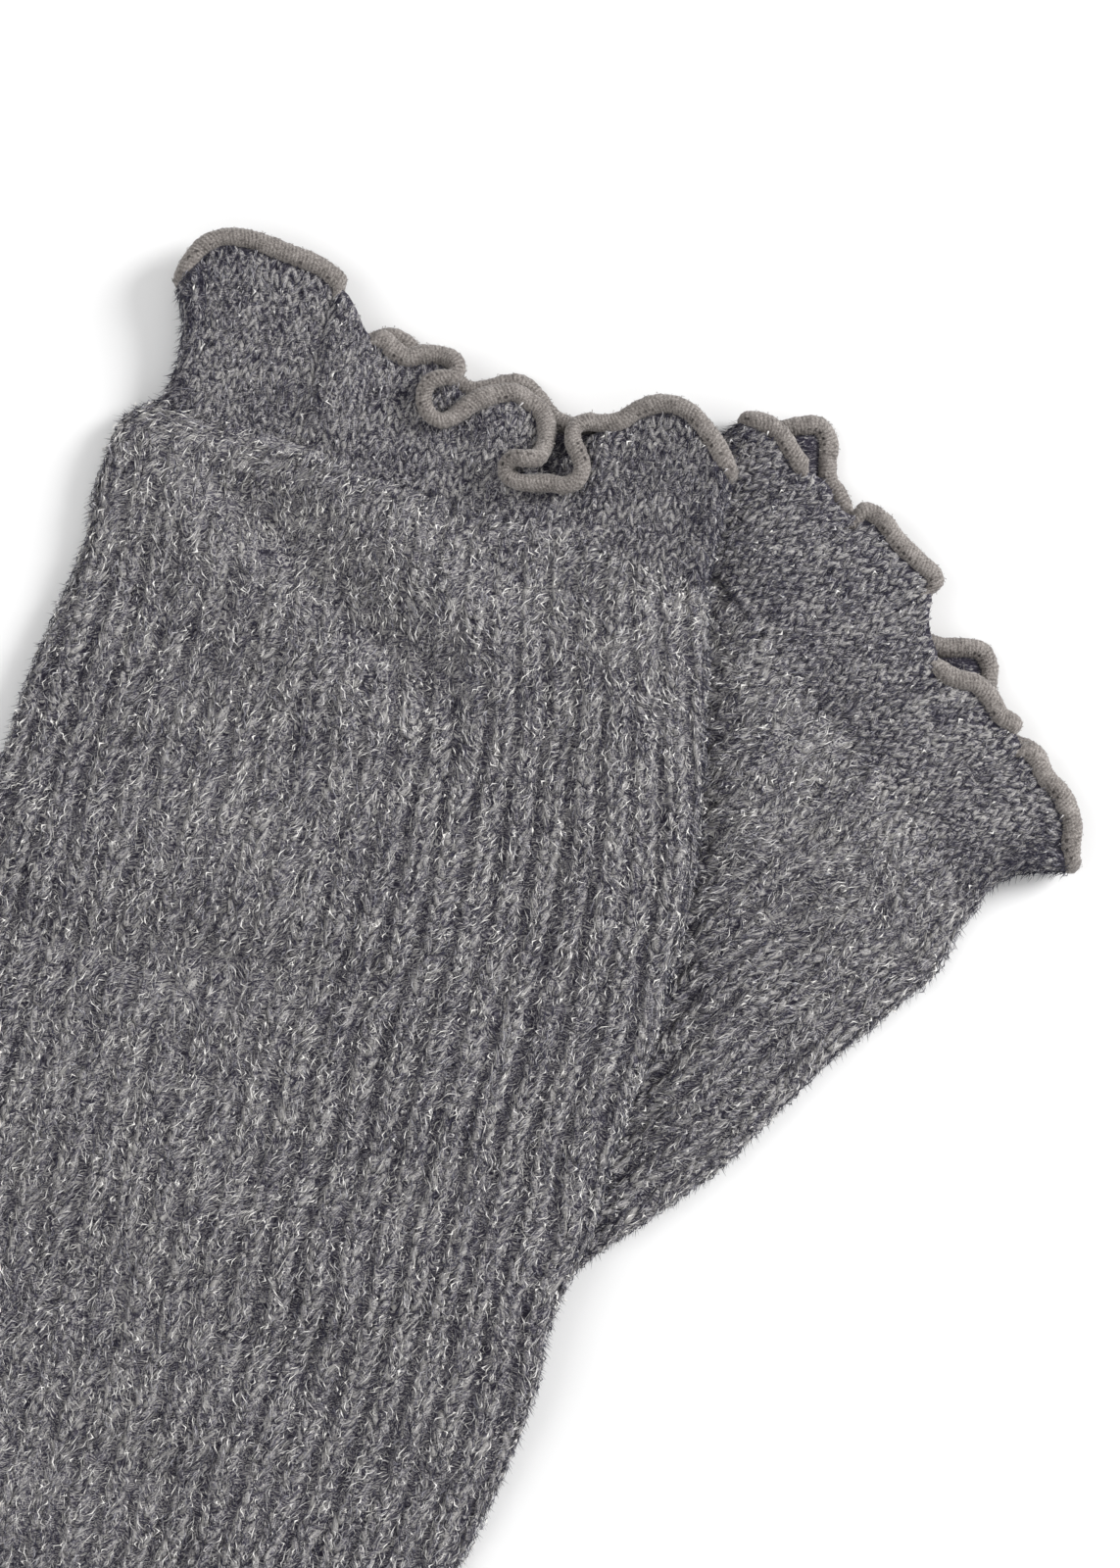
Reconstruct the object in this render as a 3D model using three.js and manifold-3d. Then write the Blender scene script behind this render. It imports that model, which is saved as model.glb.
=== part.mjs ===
// A pair of knitted leg warmers, laid flat with the upper one across the lower one.
//
// Each leg warmer is a ribbed tube of soft knit, pressed flat so that its front panel lies on its
// back panel. At one end the rib stops and a short plain band flares out. The band's rim is
// stretched and overlocked, so it waves as a lettuce edge, with a thick rolled cord of thread.
//
// Millimetres, +Z up. Each leg warmer is worked out in axes of its own: `across` runs from its left
// fold to its right fold, `down` runs from the lettuce end towards the plain end, and Z is up.

import * as THREE from "three";
import Module from "manifold-3d";

const solids = await Module();
solids.setup();

// ---- Cloth ----------------------------------------------------------------------------------

const WALL = 2.2; // one thickness of brushed knit
const RIB_HEIGHT = 0.4; // a rib's crest stands this far out of the mean cloth, its groove as far in
const RIBS = 44; // ribs round one leg warmer
const GAP = 0.3; // clear space between two pieces that touch
const HOLLOW = 0.6; // the space left between the pressed panels
const PRESSED = 2 * WALL + HOLLOW; // thickness of the flattened tube, without the ribs' crests
const LENGTH = 420; // lettuce end to plain end
const BAND_WALL = 1.8; // the plain band is thinner cloth than the rib
const RIM_WALL = 1.6; // and is stretched thinner still at its rim
const ROLL_RADIUS = 1.9; // rolled lettuce edge
const BAND = 26; // depth of the plain band

// ---- Mesh steps -----------------------------------------------------------------------------

const OUTER_POINTS = RIBS * 2; // a crest and a groove for every rib
const INNER_POINTS = RIBS;
const BAND_COLUMNS = 104;
const BAND_ROWS = 4;
const ROLL_STEPS = 150;
const ROLL_SIDES = 6;
const RIM_SAMPLES = 600; // fine steps used to measure the rim before it is shared out

// ---- How each leg warmer lies ---------------------------------------------------------------

const table = (columns, rows) =>
  rows.map((row) => Object.fromEntries(columns.map((name, i) => [name, row[i]])));

// Half widths to the left and right fold, measured from the leg's own centre line.
const UPPER_WIDTHS = table(["down", "left", "right"], [
  [-12, 57.0, 56.0],
  [0, 56.0, 56.8],
  [10, 52.4, 57.2],
  [20, 50.2, 58.4],
  [26, 52.4, 59.8],
  [30, 57.4, 61.2],
  [37, 58.9, 63.6],
  [46, 58.9, 66.2],
  [56, 57.2, 69.2],
  [66, 57.4, 72.0],
  [80, 58.6, 75.4],
  [92, 59.0, 77.2],
  [110, 59.4, 78.8],
  [137, 59.6, 78.0],
  [152, 60.0, 79.2],
  [167, 60.0, 77.8],
  [185, 60.2, 79.2],
  [204, 60.3, 78.2],
  [225, 60.4, 75.8],
  [290, 59.0, 75.0],
  [370, 57.2, 74.6],
  [420, 58.6, 75.6],
]);

const LOWER_WIDTHS = table(["down", "left", "right"], [
  [-16, 41.0, 64.0],
  [3, 42.0, 65.8],
  [10, 42.8, 60.6],
  [16, 43.6, 58.6],
  [24, 45.4, 58.8],
  [30, 47.0, 60.8],
  [36, 49.0, 62.0],
  [44, 51.6, 61.2],
  [54, 54.6, 60.6],
  [70, 58.6, 60.0],
  [84, 61.6, 60.4],
  [96, 63.6, 60.4],
  [108, 65.4, 58.6],
  [134, 68.4, 54.4],
  [180, 70.6, 53.6],
  [260, 71.0, 53.8],
  [350, 69.6, 52.6],
  [420, 71.0, 54.0],
]);

// Soft swellings of the front panel, each a low ridge from one place to another.
const UPPER_SWELLS = table(["fromAcross", "fromDown", "toAcross", "toDown", "spread", "height"], [
  [-17, 26, 20, 47, 9, 2.4],
  [-42, 44, 4, 72, 9, 1.9],
  [-52, 116, 20, 113, 12, 1.6],
  [46, 30, 62, 98, 8, 1.8],
  [30, 96, 44, 138, 10, 1.5],
  [44, 182, 70, 164, 8, 2.2],
  [-14, 170, 30, 178, 12, 1.7],
  [-44, 205, -12, 236, 12, 1.8],
  [24, 214, 52, 262, 11, 1.9],
  [-24, 284, 26, 302, 15, 1.9],
  [26, 336, 54, 366, 15, 1.6],
]);

const LOWER_SWELLS = table(["fromAcross", "fromDown", "toAcross", "toDown", "spread", "height"], [
  [-12, 12, 16, 46, 9, 1.8],
  [24, 10, 34, 42, 9, 2.0],
  [46, 16, 45, 66, 8, 1.7],
  [44, 82, 50, 98, 6, 1.3],
  [-54, 252, -42, 292, 13, 1.6],
  [-44, 330, -20, 364, 15, 1.7],
]);

// The front half of each rim, from the left fold to the right fold, a row for each turn of the
// rolled edge. `lift` is the roll's height over the cloth's underside. `ahead` and `rise` move the
// middle of the cloth that leads to it, forwards and upwards. Where the roll curls back on top of
// the band, `of` says whether a row is a turn of the roll or of the cloth below it.
const RIM_COLUMNS = ["across", "down", "lift", "ahead", "rise", "of"];

const UPPER_RIM = table(RIM_COLUMNS, [
  [-55.9, 2.2, 4.5, 0, 0.3, "both"],
  [-55.9, 1.2, 6.2, 0, 0.5, "both"],
  [-55.6, -1.1, 7.0, 0, 0.6, "both"],
  [-54.6, -4.6, 7.1, 0, 0.8, "both"],
  [-52.0, -7.5, 7.1, 0, 0.9, "both"],
  [-47.3, -9.1, 7.2, 0, 1.0, "both"],
  [-38.5, -9.1, 7.4, 0, 1.2, "both"],
  [-30.2, -8.4, 7.2, 0, 1.2, "both"],
  [-25.6, -6.4, 6.9, 0, 1.2, "both"],
  [-21.6, -3.0, 6.7, 0, 1.2, "both"],
  [-18.2, 0.5, 6.6, 0, 1.4, "both"],
  [-15.2, 0.7, 6.6, 0, 1.4, "both"],
  [-12.4, 2.0, 6.6, 0, 1.4, "both"],
  [-9.8, 2.5, 6.6, 0, 1.2, "both"],
  [-6.8, 0.9, 6.6, 0, 1.0, "both"],
  [-3.8, 0.0, 6.8, 0, 0.6, "both"],
  [-0.4, 0.8, 6.6, 0, 0.2, "cloth"],
  [1.8, 3.2, 6.0, 0, 0.2, "cloth"],
  [4.4, 4.4, 5.9, 0, 0.2, "cloth"],
  [7.0, 4.2, 6.6, 0, 0.4, "cloth"],
  [-1.1, 0.0, 7.8, 0, 0, "roll"],
  [0.5, 1.4, 9.0, 0, 0, "roll"],
  [0.1, 3.3, 10.1, 0, 0, "roll"],
  [-1.9, 4.2, 10.6, 0, 0, "roll"],
  [-3.8, 5.9, 10.5, 0, 0, "roll"],
  [-3.9, 8.9, 10.1, 0, 0, "roll"],
  [-2.0, 11.5, 9.8, 0, 0, "roll"],
  [0.9, 12.0, 9.4, 0, 0, "roll"],
  [3.2, 10.0, 9.0, 0, 0, "roll"],
  [4.9, 7.2, 8.4, 0, 0, "roll"],
  [7.1, 5.0, 7.8, 0, 0, "roll"],
  [9.8, 3.3, 7.4, 0, 1.0, "both"],
  [12.6, 2.2, 7.4, 0, 1.2, "both"],
  [15.5, 2.8, 7.4, 0, 1.2, "both"],
  [18.7, 4.2, 7.2, 0, 1.0, "both"],
  [20.6, 7.0, 6.4, 0, 0.4, "cloth"],
  [22.2, 9.6, 5.8, 0, 0.2, "cloth"],
  [24.4, 10.2, 5.6, 0, 0.2, "cloth"],
  [26.4, 8.0, 5.9, 0, 0.2, "cloth"],
  [28.2, 4.8, 6.5, 0, 0.2, "cloth"],
  [21.0, 7.6, 8.2, 0, 0, "roll"],
  [21.4, 10.8, 9.8, 0, 0, "roll"],
  [20.7, 13.2, 11.4, 0, 0, "roll"],
  [18.6, 14.1, 12.4, 0, 0, "roll"],
  [16.6, 14.7, 12.1, 0, 0, "roll"],
  [15.8, 16.3, 11.0, 0, 0, "roll"],
  [16.5, 17.9, 9.9, 0, 0, "roll"],
  [18.5, 18.6, 9.3, 0, 0, "roll"],
  [21.4, 18.0, 8.9, 0, 0, "roll"],
  [24.6, 16.9, 8.7, 0, 0, "roll"],
  [27.6, 16.4, 8.8, 0, 0, "roll"],
  [29.7, 14.5, 9.0, 0, 0, "roll"],
  [29.7, 11.9, 9.2, 0, 0, "roll"],
  [28.1, 9.6, 9.4, 0, 0, "roll"],
  [26.3, 7.6, 9.5, 0, 0, "roll"],
  [25.8, 5.2, 9.2, 0, 0, "roll"],
  [27.6, 3.2, 8.3, 0, 0, "roll"],
  [30.8, 2.4, 7.5, 0, 0.8, "both"],
  [33.8, 1.0, 7.4, 0, 1.0, "both"],
  [36.2, -1.8, 7.3, 0, 1.0, "both"],
  [39.0, -4.0, 7.2, 0, 1.0, "both"],
  [42.4, -5.1, 7.2, 0, 1.0, "both"],
  [46.0, -4.6, 7.2, 0, 1.0, "both"],
  [49.2, -2.9, 7.2, 0, 0.8, "both"],
  [52.2, -0.8, 7.2, 0, 0.6, "both"],
  [54.6, 1.4, 7.2, 0, 0.6, "both"],
  [56.3, 3.3, 6.4, 0, 0.4, "both"],
  [56.8, 3.9, 4.7, 0, 0.2, "both"],
]);

const LOWER_RIM = table(RIM_COLUMNS, [
  [-40.9, -8.9, 4.6, 0, 0.0, "both"],
  [-40.2, -9.6, 6.3, 0, 0.2, "both"],
  [-38.4, -10.9, 7.0, 0, 0.6, "both"],
  [-35.0, -11.7, 7.0, 0, 1.0, "both"],
  [-30.6, -10.9, 6.9, 0, 1.2, "both"],
  [-26.6, -10.4, 6.8, 0, 1.2, "both"],
  [-23.4, -11.4, 6.7, 0, 1.2, "both"],
  [-20.4, -11.6, 6.6, 0, 1.3, "both"],
  [-17.4, -10.2, 6.6, 0, 1.4, "both"],
  [-14.6, -10.5, 6.6, 0, 1.2, "both"],
  [-12.3, -13.2, 6.8, 0, 1.2, "both"],
  [-8.6, -14.2, 7.0, 0, 1.2, "both"],
  [-4.0, -13.6, 7.2, 0, 1.2, "both"],
  [2.0, -13.8, 7.0, 0, 1.2, "both"],
  [6.2, -13.9, 6.8, 0, 1.2, "both"],
  [9.0, -11.2, 6.6, 0, 1.2, "both"],
  [11.0, -8.2, 6.6, 0, 1.3, "both"],
  [13.6, -6.0, 6.6, 0, 1.4, "both"],
  [17.4, -4.2, 6.7, 0, 1.2, "both"],
  [20.6, -2.3, 7.3, 0, 1.2, "both"],
  [23.6, -3.2, 7.6, 0, 1.2, "both"],
  [26.4, -5.0, 7.7, 0, 1.2, "both"],
  [30.0, -5.4, 7.5, 0, 1.2, "both"],
  [34.6, -4.4, 7.0, 0, 1.0, "both"],
  [38.4, -5.0, 6.8, 0, 1.0, "both"],
  [41.2, -3.6, 6.7, 0, 1.1, "both"],
  [45.2, -3.8, 6.6, 0, 1.2, "both"],
  [49.4, -2.4, 6.7, 0, 1.2, "both"],
  [53.2, -2.3, 6.9, 0, 1.1, "both"],
  [56.4, -1.4, 7.1, 0, 0.9, "both"],
  [59.8, 0.4, 7.1, 0, 0.8, "both"],
  [62.3, 3.3, 7.1, 0, 0.6, "both"],
  [64.3, 5.0, 6.4, 0, 0.4, "both"],
  [65.1, 5.6, 4.7, 0, 0.2, "both"],
]);

// The back half of each rim lies on the surface below, nearly flat. Each row is one wave that
// reaches out past the low line of the rim.
const WAVE_COLUMNS = ["at", "reach", "spread"];

const UPPER_BACK_WAVES = table(WAVE_COLUMNS, [
  [45.5, 10.4, 7.5],
  [31.0, 3.0, 5.5],
  [13.0, 5.8, 6.5],
  [-3.0, 2.6, 5.0],
  [-13.2, 6.4, 6.0],
  [-28.0, 3.2, 6.0],
  [-43.0, 9.2, 8.0],
]);

const LOWER_BACK_WAVES = table(WAVE_COLUMNS, [
  [57.0, 3.0, 5.5],
  [44.6, 8.6, 6.5],
  [34.0, 2.0, 5.0],
  [24.4, 8.2, 7.0],
  [23.0, 5.6, 13.0],
  [9.0, 4.0, 5.5],
  [-3.0, 9.0, 6.5],
  [-16.0, 6.0, 5.5],
  [-29.8, 10.2, 7.3],
  [-26.0, 6.6, 13.0],
]);

const UPPER = {
  name: "upper",
  lettuceEnd: [-19.9, 82.3],
  heading: 71, // degrees from +X to the line that runs up to the lettuce end
  wander: 5, // degrees that the ribs turn round the tube, against its folds
  seam: BAND,
  seamTilt: 0,
  widths: UPPER_WIDTHS,
  swells: UPPER_SWELLS,
  rim: UPPER_RIM,
  backWaves: UPPER_BACK_WAVES,
  backLow: 5.5, // how far down the back rim's low line lies
  backLift: 2.25,
  waist: { left: 6, right: 0 }, // how far the band is drawn in at its folds
  sections: 20,
};

const LOWER = {
  name: "lower",
  lettuceEnd: [58.6, 35.2],
  heading: 44,
  wander: 1.5,
  seam: 18,
  seamTilt: 0.1,
  widths: LOWER_WIDTHS,
  swells: LOWER_SWELLS,
  rim: LOWER_RIM,
  backWaves: LOWER_BACK_WAVES,
  backLow: 0.5,
  backLift: 2.25,
  waist: { left: 0, right: 7 },
  sections: 14,
};

// ---- Small sums -----------------------------------------------------------------------------

const clamp = (x, low, high) => Math.min(high, Math.max(low, x));
const mix = (a, b, t) => a + (b - a) * t;
const radians = (degrees) => (degrees * Math.PI) / 180;

// Rises smoothly from 0 to 1 as x goes from 0 to 1.
function ease(x) {
  const t = clamp(x, 0, 1);
  return t * t * (3 - 2 * t);
}

// A smooth curve through points with `knots` as their places, read at `at`.
function throughPoints(knots, values, at) {
  const last = knots.length - 1;
  const x = clamp(at, knots[0], knots[last]);
  let i = 0;
  while (i < last - 1 && x > knots[i + 1]) i += 1;
  const rate = (k) => (values[k + 1] - values[k]) / (knots[k + 1] - knots[k]);
  const slope = (k) => {
    if (k === 0) return rate(0);
    if (k === last) return rate(last - 1);
    const before = knots[k] - knots[k - 1];
    const after = knots[k + 1] - knots[k];
    return (rate(k - 1) * after + rate(k) * before) / (before + after);
  };
  const step = knots[i + 1] - knots[i];
  const t = (x - knots[i]) / step;
  const a = 2 * t ** 3 - 3 * t ** 2 + 1;
  const b = t ** 3 - 2 * t ** 2 + t;
  const c = 3 * t ** 2 - 2 * t ** 3;
  const d = t ** 3 - t ** 2;
  return a * values[i] + b * step * slope(i) + c * values[i + 1] + d * step * slope(i + 1);
}

function column(rows, name, at, by) {
  return throughPoints(rows.map((row) => row[by]), rows.map((row) => row[name]), at);
}

// ---- Placing a leg warmer on the surface ----------------------------------------------------

const leftWidth = (leg, down) => column(leg.widths, "left", down, "down");
const rightWidth = (leg, down) => column(leg.widths, "right", down, "down");

// The plan place of a point given in a leg warmer's own axes.
function toPlan(leg, across, down) {
  const angle = radians(leg.heading);
  const [x, y] = leg.lettuceEnd;
  return [
    x - down * Math.cos(angle) + across * Math.sin(angle),
    y - down * Math.sin(angle) - across * Math.cos(angle),
  ];
}

function toLeg(leg, x, y) {
  const angle = radians(leg.heading);
  const dx = x - leg.lettuceEnd[0];
  const dy = y - leg.lettuceEnd[1];
  return [
    dx * Math.sin(angle) - dy * Math.cos(angle),
    -dx * Math.cos(angle) - dy * Math.sin(angle),
  ];
}

// How high the upper leg warmer's underside is carried, where it drapes over the lower one.
const DRAPE_HEIGHT = PRESSED + RIB_HEIGHT + GAP * 1.9;
const DRAPE_FALL = 28; // it falls to the surface over this distance outside the lower one
const DRAPE_MARGIN = 2.5; // and stays level this far beyond its folds
const RIM_STAND = 2.4; // the lower one's ruffle stands this much higher than its leg

function drape(x, y) {
  const [across, down] = toLeg(LOWER, x, y);
  const inside = Math.min(
    across + leftWidth(LOWER, down),
    rightWidth(LOWER, down) - across,
    down + 2,
    LENGTH - down,
  );
  const height = DRAPE_HEIGHT + swell(LOWER, across, down) + RIM_STAND * ease((12 - down) / 14);
  return height * ease((inside + DRAPE_MARGIN + DRAPE_FALL) / DRAPE_FALL);
}

const carried = (leg, x, y) => (leg === UPPER ? drape(x, y) : 0);

// How far the swellings lift the front panel.
function swell(leg, across, down) {
  let height = 0;
  for (const ridge of leg.swells) {
    const runAcross = ridge.toAcross - ridge.fromAcross;
    const runDown = ridge.toDown - ridge.fromDown;
    const run = Math.hypot(runAcross, runDown);
    const along = ((across - ridge.fromAcross) * runAcross + (down - ridge.fromDown) * runDown) / run;
    const aside = ((across - ridge.fromAcross) * runDown - (down - ridge.fromDown) * runAcross) / run;
    const past = Math.max(-along, along - run, 0);
    height += ridge.height * Math.exp(-(aside ** 2 + past ** 2) / ridge.spread ** 2);
  }
  const toFold = Math.min(across + leftWidth(leg, down), rightWidth(leg, down) - across);
  return height * ease(toFold / 12);
}

// ---- The flattened tube ---------------------------------------------------------------------

// A point of a flattened ring with rounded folds. `turn` goes from 0 at the left fold, across the
// front to 0.5 at the right fold, and back underneath to 1.
function flatRing(left, right, radius, turn) {
  const straight = left + right - 2 * radius;
  const perimeter = 2 * straight + 2 * Math.PI * radius;
  const quarter = (Math.PI * radius) / 2;
  const whole = turn - Math.floor(turn);
  const under = whole > 0.5;
  let run = (under ? whole - 0.5 : whole) * perimeter;
  let across;
  let angle; // of the outward direction, from straight left over the top to straight right
  if (run < quarter) {
    angle = Math.PI - run / radius;
    across = -left + radius + radius * Math.cos(angle);
  } else if (run < quarter + straight) {
    angle = Math.PI / 2;
    across = -left + radius + run - quarter;
  } else {
    angle = Math.PI / 2 - (run - quarter - straight) / radius;
    across = right - radius + radius * Math.cos(angle);
  }
  const height = radius * Math.sin(angle);
  const out = [Math.cos(angle), Math.sin(angle)];
  if (!under) return { across, height, out, perimeter };
  return { across: right - left - across, height: -height, out: [-out[0], -out[1]], perimeter };
}

// The seam runs slightly aslant on a leg whose rim does, and the slant dies out down the leg.
function slanted(leg, across, down) {
  const fade = 1 - ease((down - leg.seam) / 90);
  return down + leg.seamTilt * across * fade;
}

// One ring of the leg's wall, as plan points with heights.
function legRing(leg, down, points, radius, inset, ribbed) {
  const left = leftWidth(leg, down) - inset;
  const right = rightWidth(leg, down) - inset;
  const turned = (Math.tan(radians(leg.wander)) * down) / (2 * (left + right));
  const ring = [];
  for (let i = 0; i < points; i += 1) {
    const place = flatRing(left, right, radius, i / points + turned);
    const upward = ease(place.out[1] + 0.9);
    const rib = ribbed ? RIB_HEIGHT * (i % 2 === 0 ? 1 : -1) * upward : 0;
    const across = place.across + place.out[0] * rib;
    const slid = slanted(leg, across, down);
    const [x, y] = toPlan(leg, across, slid);
    const front = ease(place.out[1] * 2);
    const lifted = swell(leg, across, slid) * front;
    ring.push([x, y, PRESSED / 2 + place.height + place.out[1] * rib + lifted + carried(leg, x, y)]);
  }
  return ring;
}

// Distances down the leg at which it gets a ring, closer together near the band.
function ringPlaces(leg) {
  const first = leg.seam + GAP / 2;
  const places = [];
  for (let i = 0; i <= leg.sections; i += 1) {
    const t = i / leg.sections;
    places.push(mix(first, LENGTH, t * 0.8 + t * t * 0.2));
  }
  return places;
}

// ---- Meshes from rings ----------------------------------------------------------------------

class Body {
  constructor() {
    this.points = [];
    this.faces = [];
  }

  ring(points) {
    const start = this.points.length;
    this.points.push(...points);
    return points.map((_, i) => start + i);
  }

  // Triangles between two closed rings that may have different numbers of points.
  bridge(a, b, flip = false) {
    let i = 0;
    let j = 0;
    while (i < a.length || j < b.length) {
      const stepA = (i + 1) / a.length;
      const stepB = (j + 1) / b.length;
      const advanceA = j >= b.length || (i < a.length && stepA <= stepB);
      const p = a[i % a.length];
      const q = b[j % b.length];
      const next = advanceA ? a[(i + 1) % a.length] : b[(j + 1) % b.length];
      this.faces.push(flip ? [p, next, q] : [p, q, next]);
      if (advanceA) i += 1;
      else j += 1;
    }
  }

  volume() {
    let sum = 0;
    for (const [a, b, c] of this.faces) {
      const p = new THREE.Vector3(...this.points[a]);
      const q = new THREE.Vector3(...this.points[b]);
      const r = new THREE.Vector3(...this.points[c]);
      sum += p.dot(q.cross(r)) / 6;
    }
    return sum;
  }

  outward() {
    return this.volume() > 0 ? this.faces : this.faces.map(([a, b, c]) => [a, c, b]);
  }

  solid() {
    const mesh = new solids.Mesh({
      numProp: 3,
      vertProperties: new Float32Array(this.points.flat()),
      triVerts: new Uint32Array(this.outward().flat()),
    });
    return new solids.Manifold(mesh);
  }

  geometry() {
    const faces = this.outward();
    const geometry = new THREE.BufferGeometry();
    geometry.setAttribute("position", new THREE.Float32BufferAttribute(this.points.flat(), 3));
    geometry.setIndex(faces.flat());
    geometry.computeVertexNormals();
    return geometry;
  }
}

function legTube(leg) {
  const body = new Body();
  const places = ringPlaces(leg);
  const outer = places.map((down) =>
    body.ring(legRing(leg, down, OUTER_POINTS, PRESSED / 2, 0, true)));
  const inner = places.map((down) =>
    body.ring(legRing(leg, down, INNER_POINTS, HOLLOW / 2, WALL, false)));
  const last = places.length - 1;
  for (let k = 0; k < last; k += 1) {
    body.bridge(outer[k], outer[k + 1]);
    body.bridge(inner[k], inner[k + 1], true);
  }
  body.bridge(inner[0], outer[0]);
  body.bridge(outer[last], inner[last]);
  return body.geometry();
}

// ---- The rim --------------------------------------------------------------------------------

// Every turn of the rim in order, front from left to right, then back from right to left. `of`
// chooses the roll's turns or the cloth's.
const BACK_STEP = 3; // space between the turns along the back rim
const FOLD_INSET = 5; // the back half begins and ends this far inside the folds
const TURN_INSET = 0.8; // the roll's turn under each fold comes in this far
const TURN_LIFT = 3; // and this high

function rimRows(leg, of) {
  const front = leg.rim.filter((row) => row.of === "both" || row.of === of);
  const left = leftWidth(leg, leg.rim[0].down) - FOLD_INSET;
  const right = rightWidth(leg, leg.rim.at(-1).down) - FOLD_INSET;
  const count = Math.round((left + right) / BACK_STEP);
  const back = [];
  for (let i = 0; i <= count; i += 1) {
    const across = mix(right, -left, i / count);
    let down = leg.backLow + leg.seamTilt * across;
    for (const wave of leg.backWaves) {
      down -= wave.reach * Math.exp(-(((across - wave.at) / wave.spread) ** 2));
    }
    back.push({ across, down, lift: leg.backLift, ahead: 0, rise: 0 });
  }
  const under = (row, inward) => ({ ...row, across: row.across + inward, lift: TURN_LIFT, rise: 0 });
  back.unshift(under(front.at(-1), -TURN_INSET));
  back.push(under(front[0], TURN_INSET));
  return { front, back };
}

// The rim as many fine steps, each with the place round the seam that its cloth comes from.
function fineRim(leg, of) {
  const { front, back } = rimRows(leg, of);
  const rows = [...front, ...back];
  const closed = [...rows.slice(-3), ...rows, ...rows.slice(0, 3)];
  const knots = [0];
  for (let i = 1; i < closed.length; i += 1) {
    const [a, b] = [closed[i - 1], closed[i]];
    knots.push(knots[i - 1] + Math.hypot(a.across - b.across, a.down - b.down, a.lift - b.lift));
  }
  const start = knots[3];
  const end = knots[3 + rows.length];
  const columns = ["across", "down", "lift", "ahead", "rise"];
  const lists = columns.map((name) => closed.map((row) => row[name]));
  const rim = [];
  for (let i = 0; i < RIM_SAMPLES; i += 1) {
    const at = mix(start, end, i / RIM_SAMPLES);
    const values = lists.map((list) => throughPoints(knots, list, at));
    rim.push(Object.fromEntries(columns.map((name, k) => [name, values[k]])));
  }
  const turnFront = (knots[3 + front.length - 1] - start) / (end - start);
  const halves = [
    [0, Math.round(turnFront * RIM_SAMPLES), 1],
    [Math.round(turnFront * RIM_SAMPLES), RIM_SAMPLES, -1],
  ];
  const roots = new Array(RIM_SAMPLES + 1).fill(0);
  halves.forEach(([from, to, direction], half) => {
    const first = rim[from].across;
    const whole = rim[to % RIM_SAMPLES].across - first;
    let reached = 0;
    for (let i = from; i <= to; i += 1) {
      const byPlace = (rim[i % RIM_SAMPLES].across - first) / whole;
      reached = Math.max(reached, byPlace);
      const byLength = (i - from) / (to - from);
      roots[i] = half / 2 + (0.5 * Math.min(reached, 1) + 0.5 * byLength) / 2;
    }
    if (direction < 0) roots[to] = 1;
  });
  const width = 14; // fine steps over which the roots are evened out
  rim.forEach((point, i) => {
    let sum = 0;
    for (let k = -width; k <= width; k += 1) {
      const j = i + k;
      const wrapped = ((j % RIM_SAMPLES) + RIM_SAMPLES) % RIM_SAMPLES;
      sum += roots[wrapped] + Math.floor(j / RIM_SAMPLES);
    }
    point.root = sum / (2 * width + 1);
  });
  return rim;
}

function rimPoint(leg, row) {
  const [x, y] = toPlan(leg, row.across, row.down);
  return new THREE.Vector3(x, y, row.lift + carried(leg, x, y));
}

// `count` samples of the rim, closer together where it turns. Each has the roll's centre, the way
// it runs, and the side on which the cloth joins it.
const TURN_COST = 3; // millimetres of rim that a turn of one radian counts for

function sampleRim(leg, of, count) {
  const rim = fineRim(leg, of);
  const wrapped = (i) => ((i % RIM_SAMPLES) + RIM_SAMPLES) % RIM_SAMPLES;
  const centres = rim.map((row) => rimPoint(leg, row));
  const runs = rim.map((_, i) =>
    centres[wrapped(i + 2)].clone().sub(centres[wrapped(i - 2)]).normalize());
  const reached = [0];
  for (let i = 0; i < RIM_SAMPLES; i += 1) {
    const step = centres[i].distanceTo(centres[wrapped(i + 1)]);
    const turn = runs[i].angleTo(runs[wrapped(i + 1)]);
    reached.push(reached[i] + step + TURN_COST * turn);
  }
  const samples = [];
  let k = 0;
  for (let i = 0; i < count; i += 1) {
    while (reached[k + 1] <= (reached[RIM_SAMPLES] * i) / count) k += 1;
    const side = runs[k].clone().cross(facing(leg, rim[k].root)).normalize();
    samples.push({ centre: centres[k], along: runs[k], side, row: rim[k] });
  }
  return samples;
}

// The outward direction of the pressed cloth at a place round it: up on the front, down on the
// back, and sideways in a narrow turn at each fold.
const WAIST_REACH = 0.06; // share of the ring on either side of a fold that is drawn in
const FOLD_TURN = 0.014; // share of the ring over which a fold turns

function facing(leg, root) {
  const heading = radians(leg.heading);
  const whole = root - Math.floor(root);
  const fromRight = whole - 0.5;
  const fromLeft = whole < 0.5 ? whole : whole - 1;
  const nearRight = Math.abs(fromRight) < 0.25;
  const past = nearRight ? -fromRight : fromLeft;
  const up = clamp(past / FOLD_TURN, -1, 1);
  const aside = (nearRight ? 1 : -1) * Math.sqrt(1 - up * up);
  return new THREE.Vector3(Math.sin(heading) * aside, -Math.cos(heading) * aside, up);
}

// ---- The band -------------------------------------------------------------------------------

function bandSeamPoint(leg, turn) {
  const down = leg.seam - GAP / 2;
  const inset = BAND_WALL / 2;
  const radius = (PRESSED - BAND_WALL) / 2;
  const place = flatRing(leftWidth(leg, down) - inset, rightWidth(leg, down) - inset, radius, turn);
  const slid = slanted(leg, place.across, down);
  const [x, y] = toPlan(leg, place.across, slid);
  const front = ease(place.out[1] * 2);
  const lifted = swell(leg, place.across, slid) * front;
  return new THREE.Vector3(x, y, PRESSED / 2 + place.height + lifted + carried(leg, x, y));
}

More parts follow.
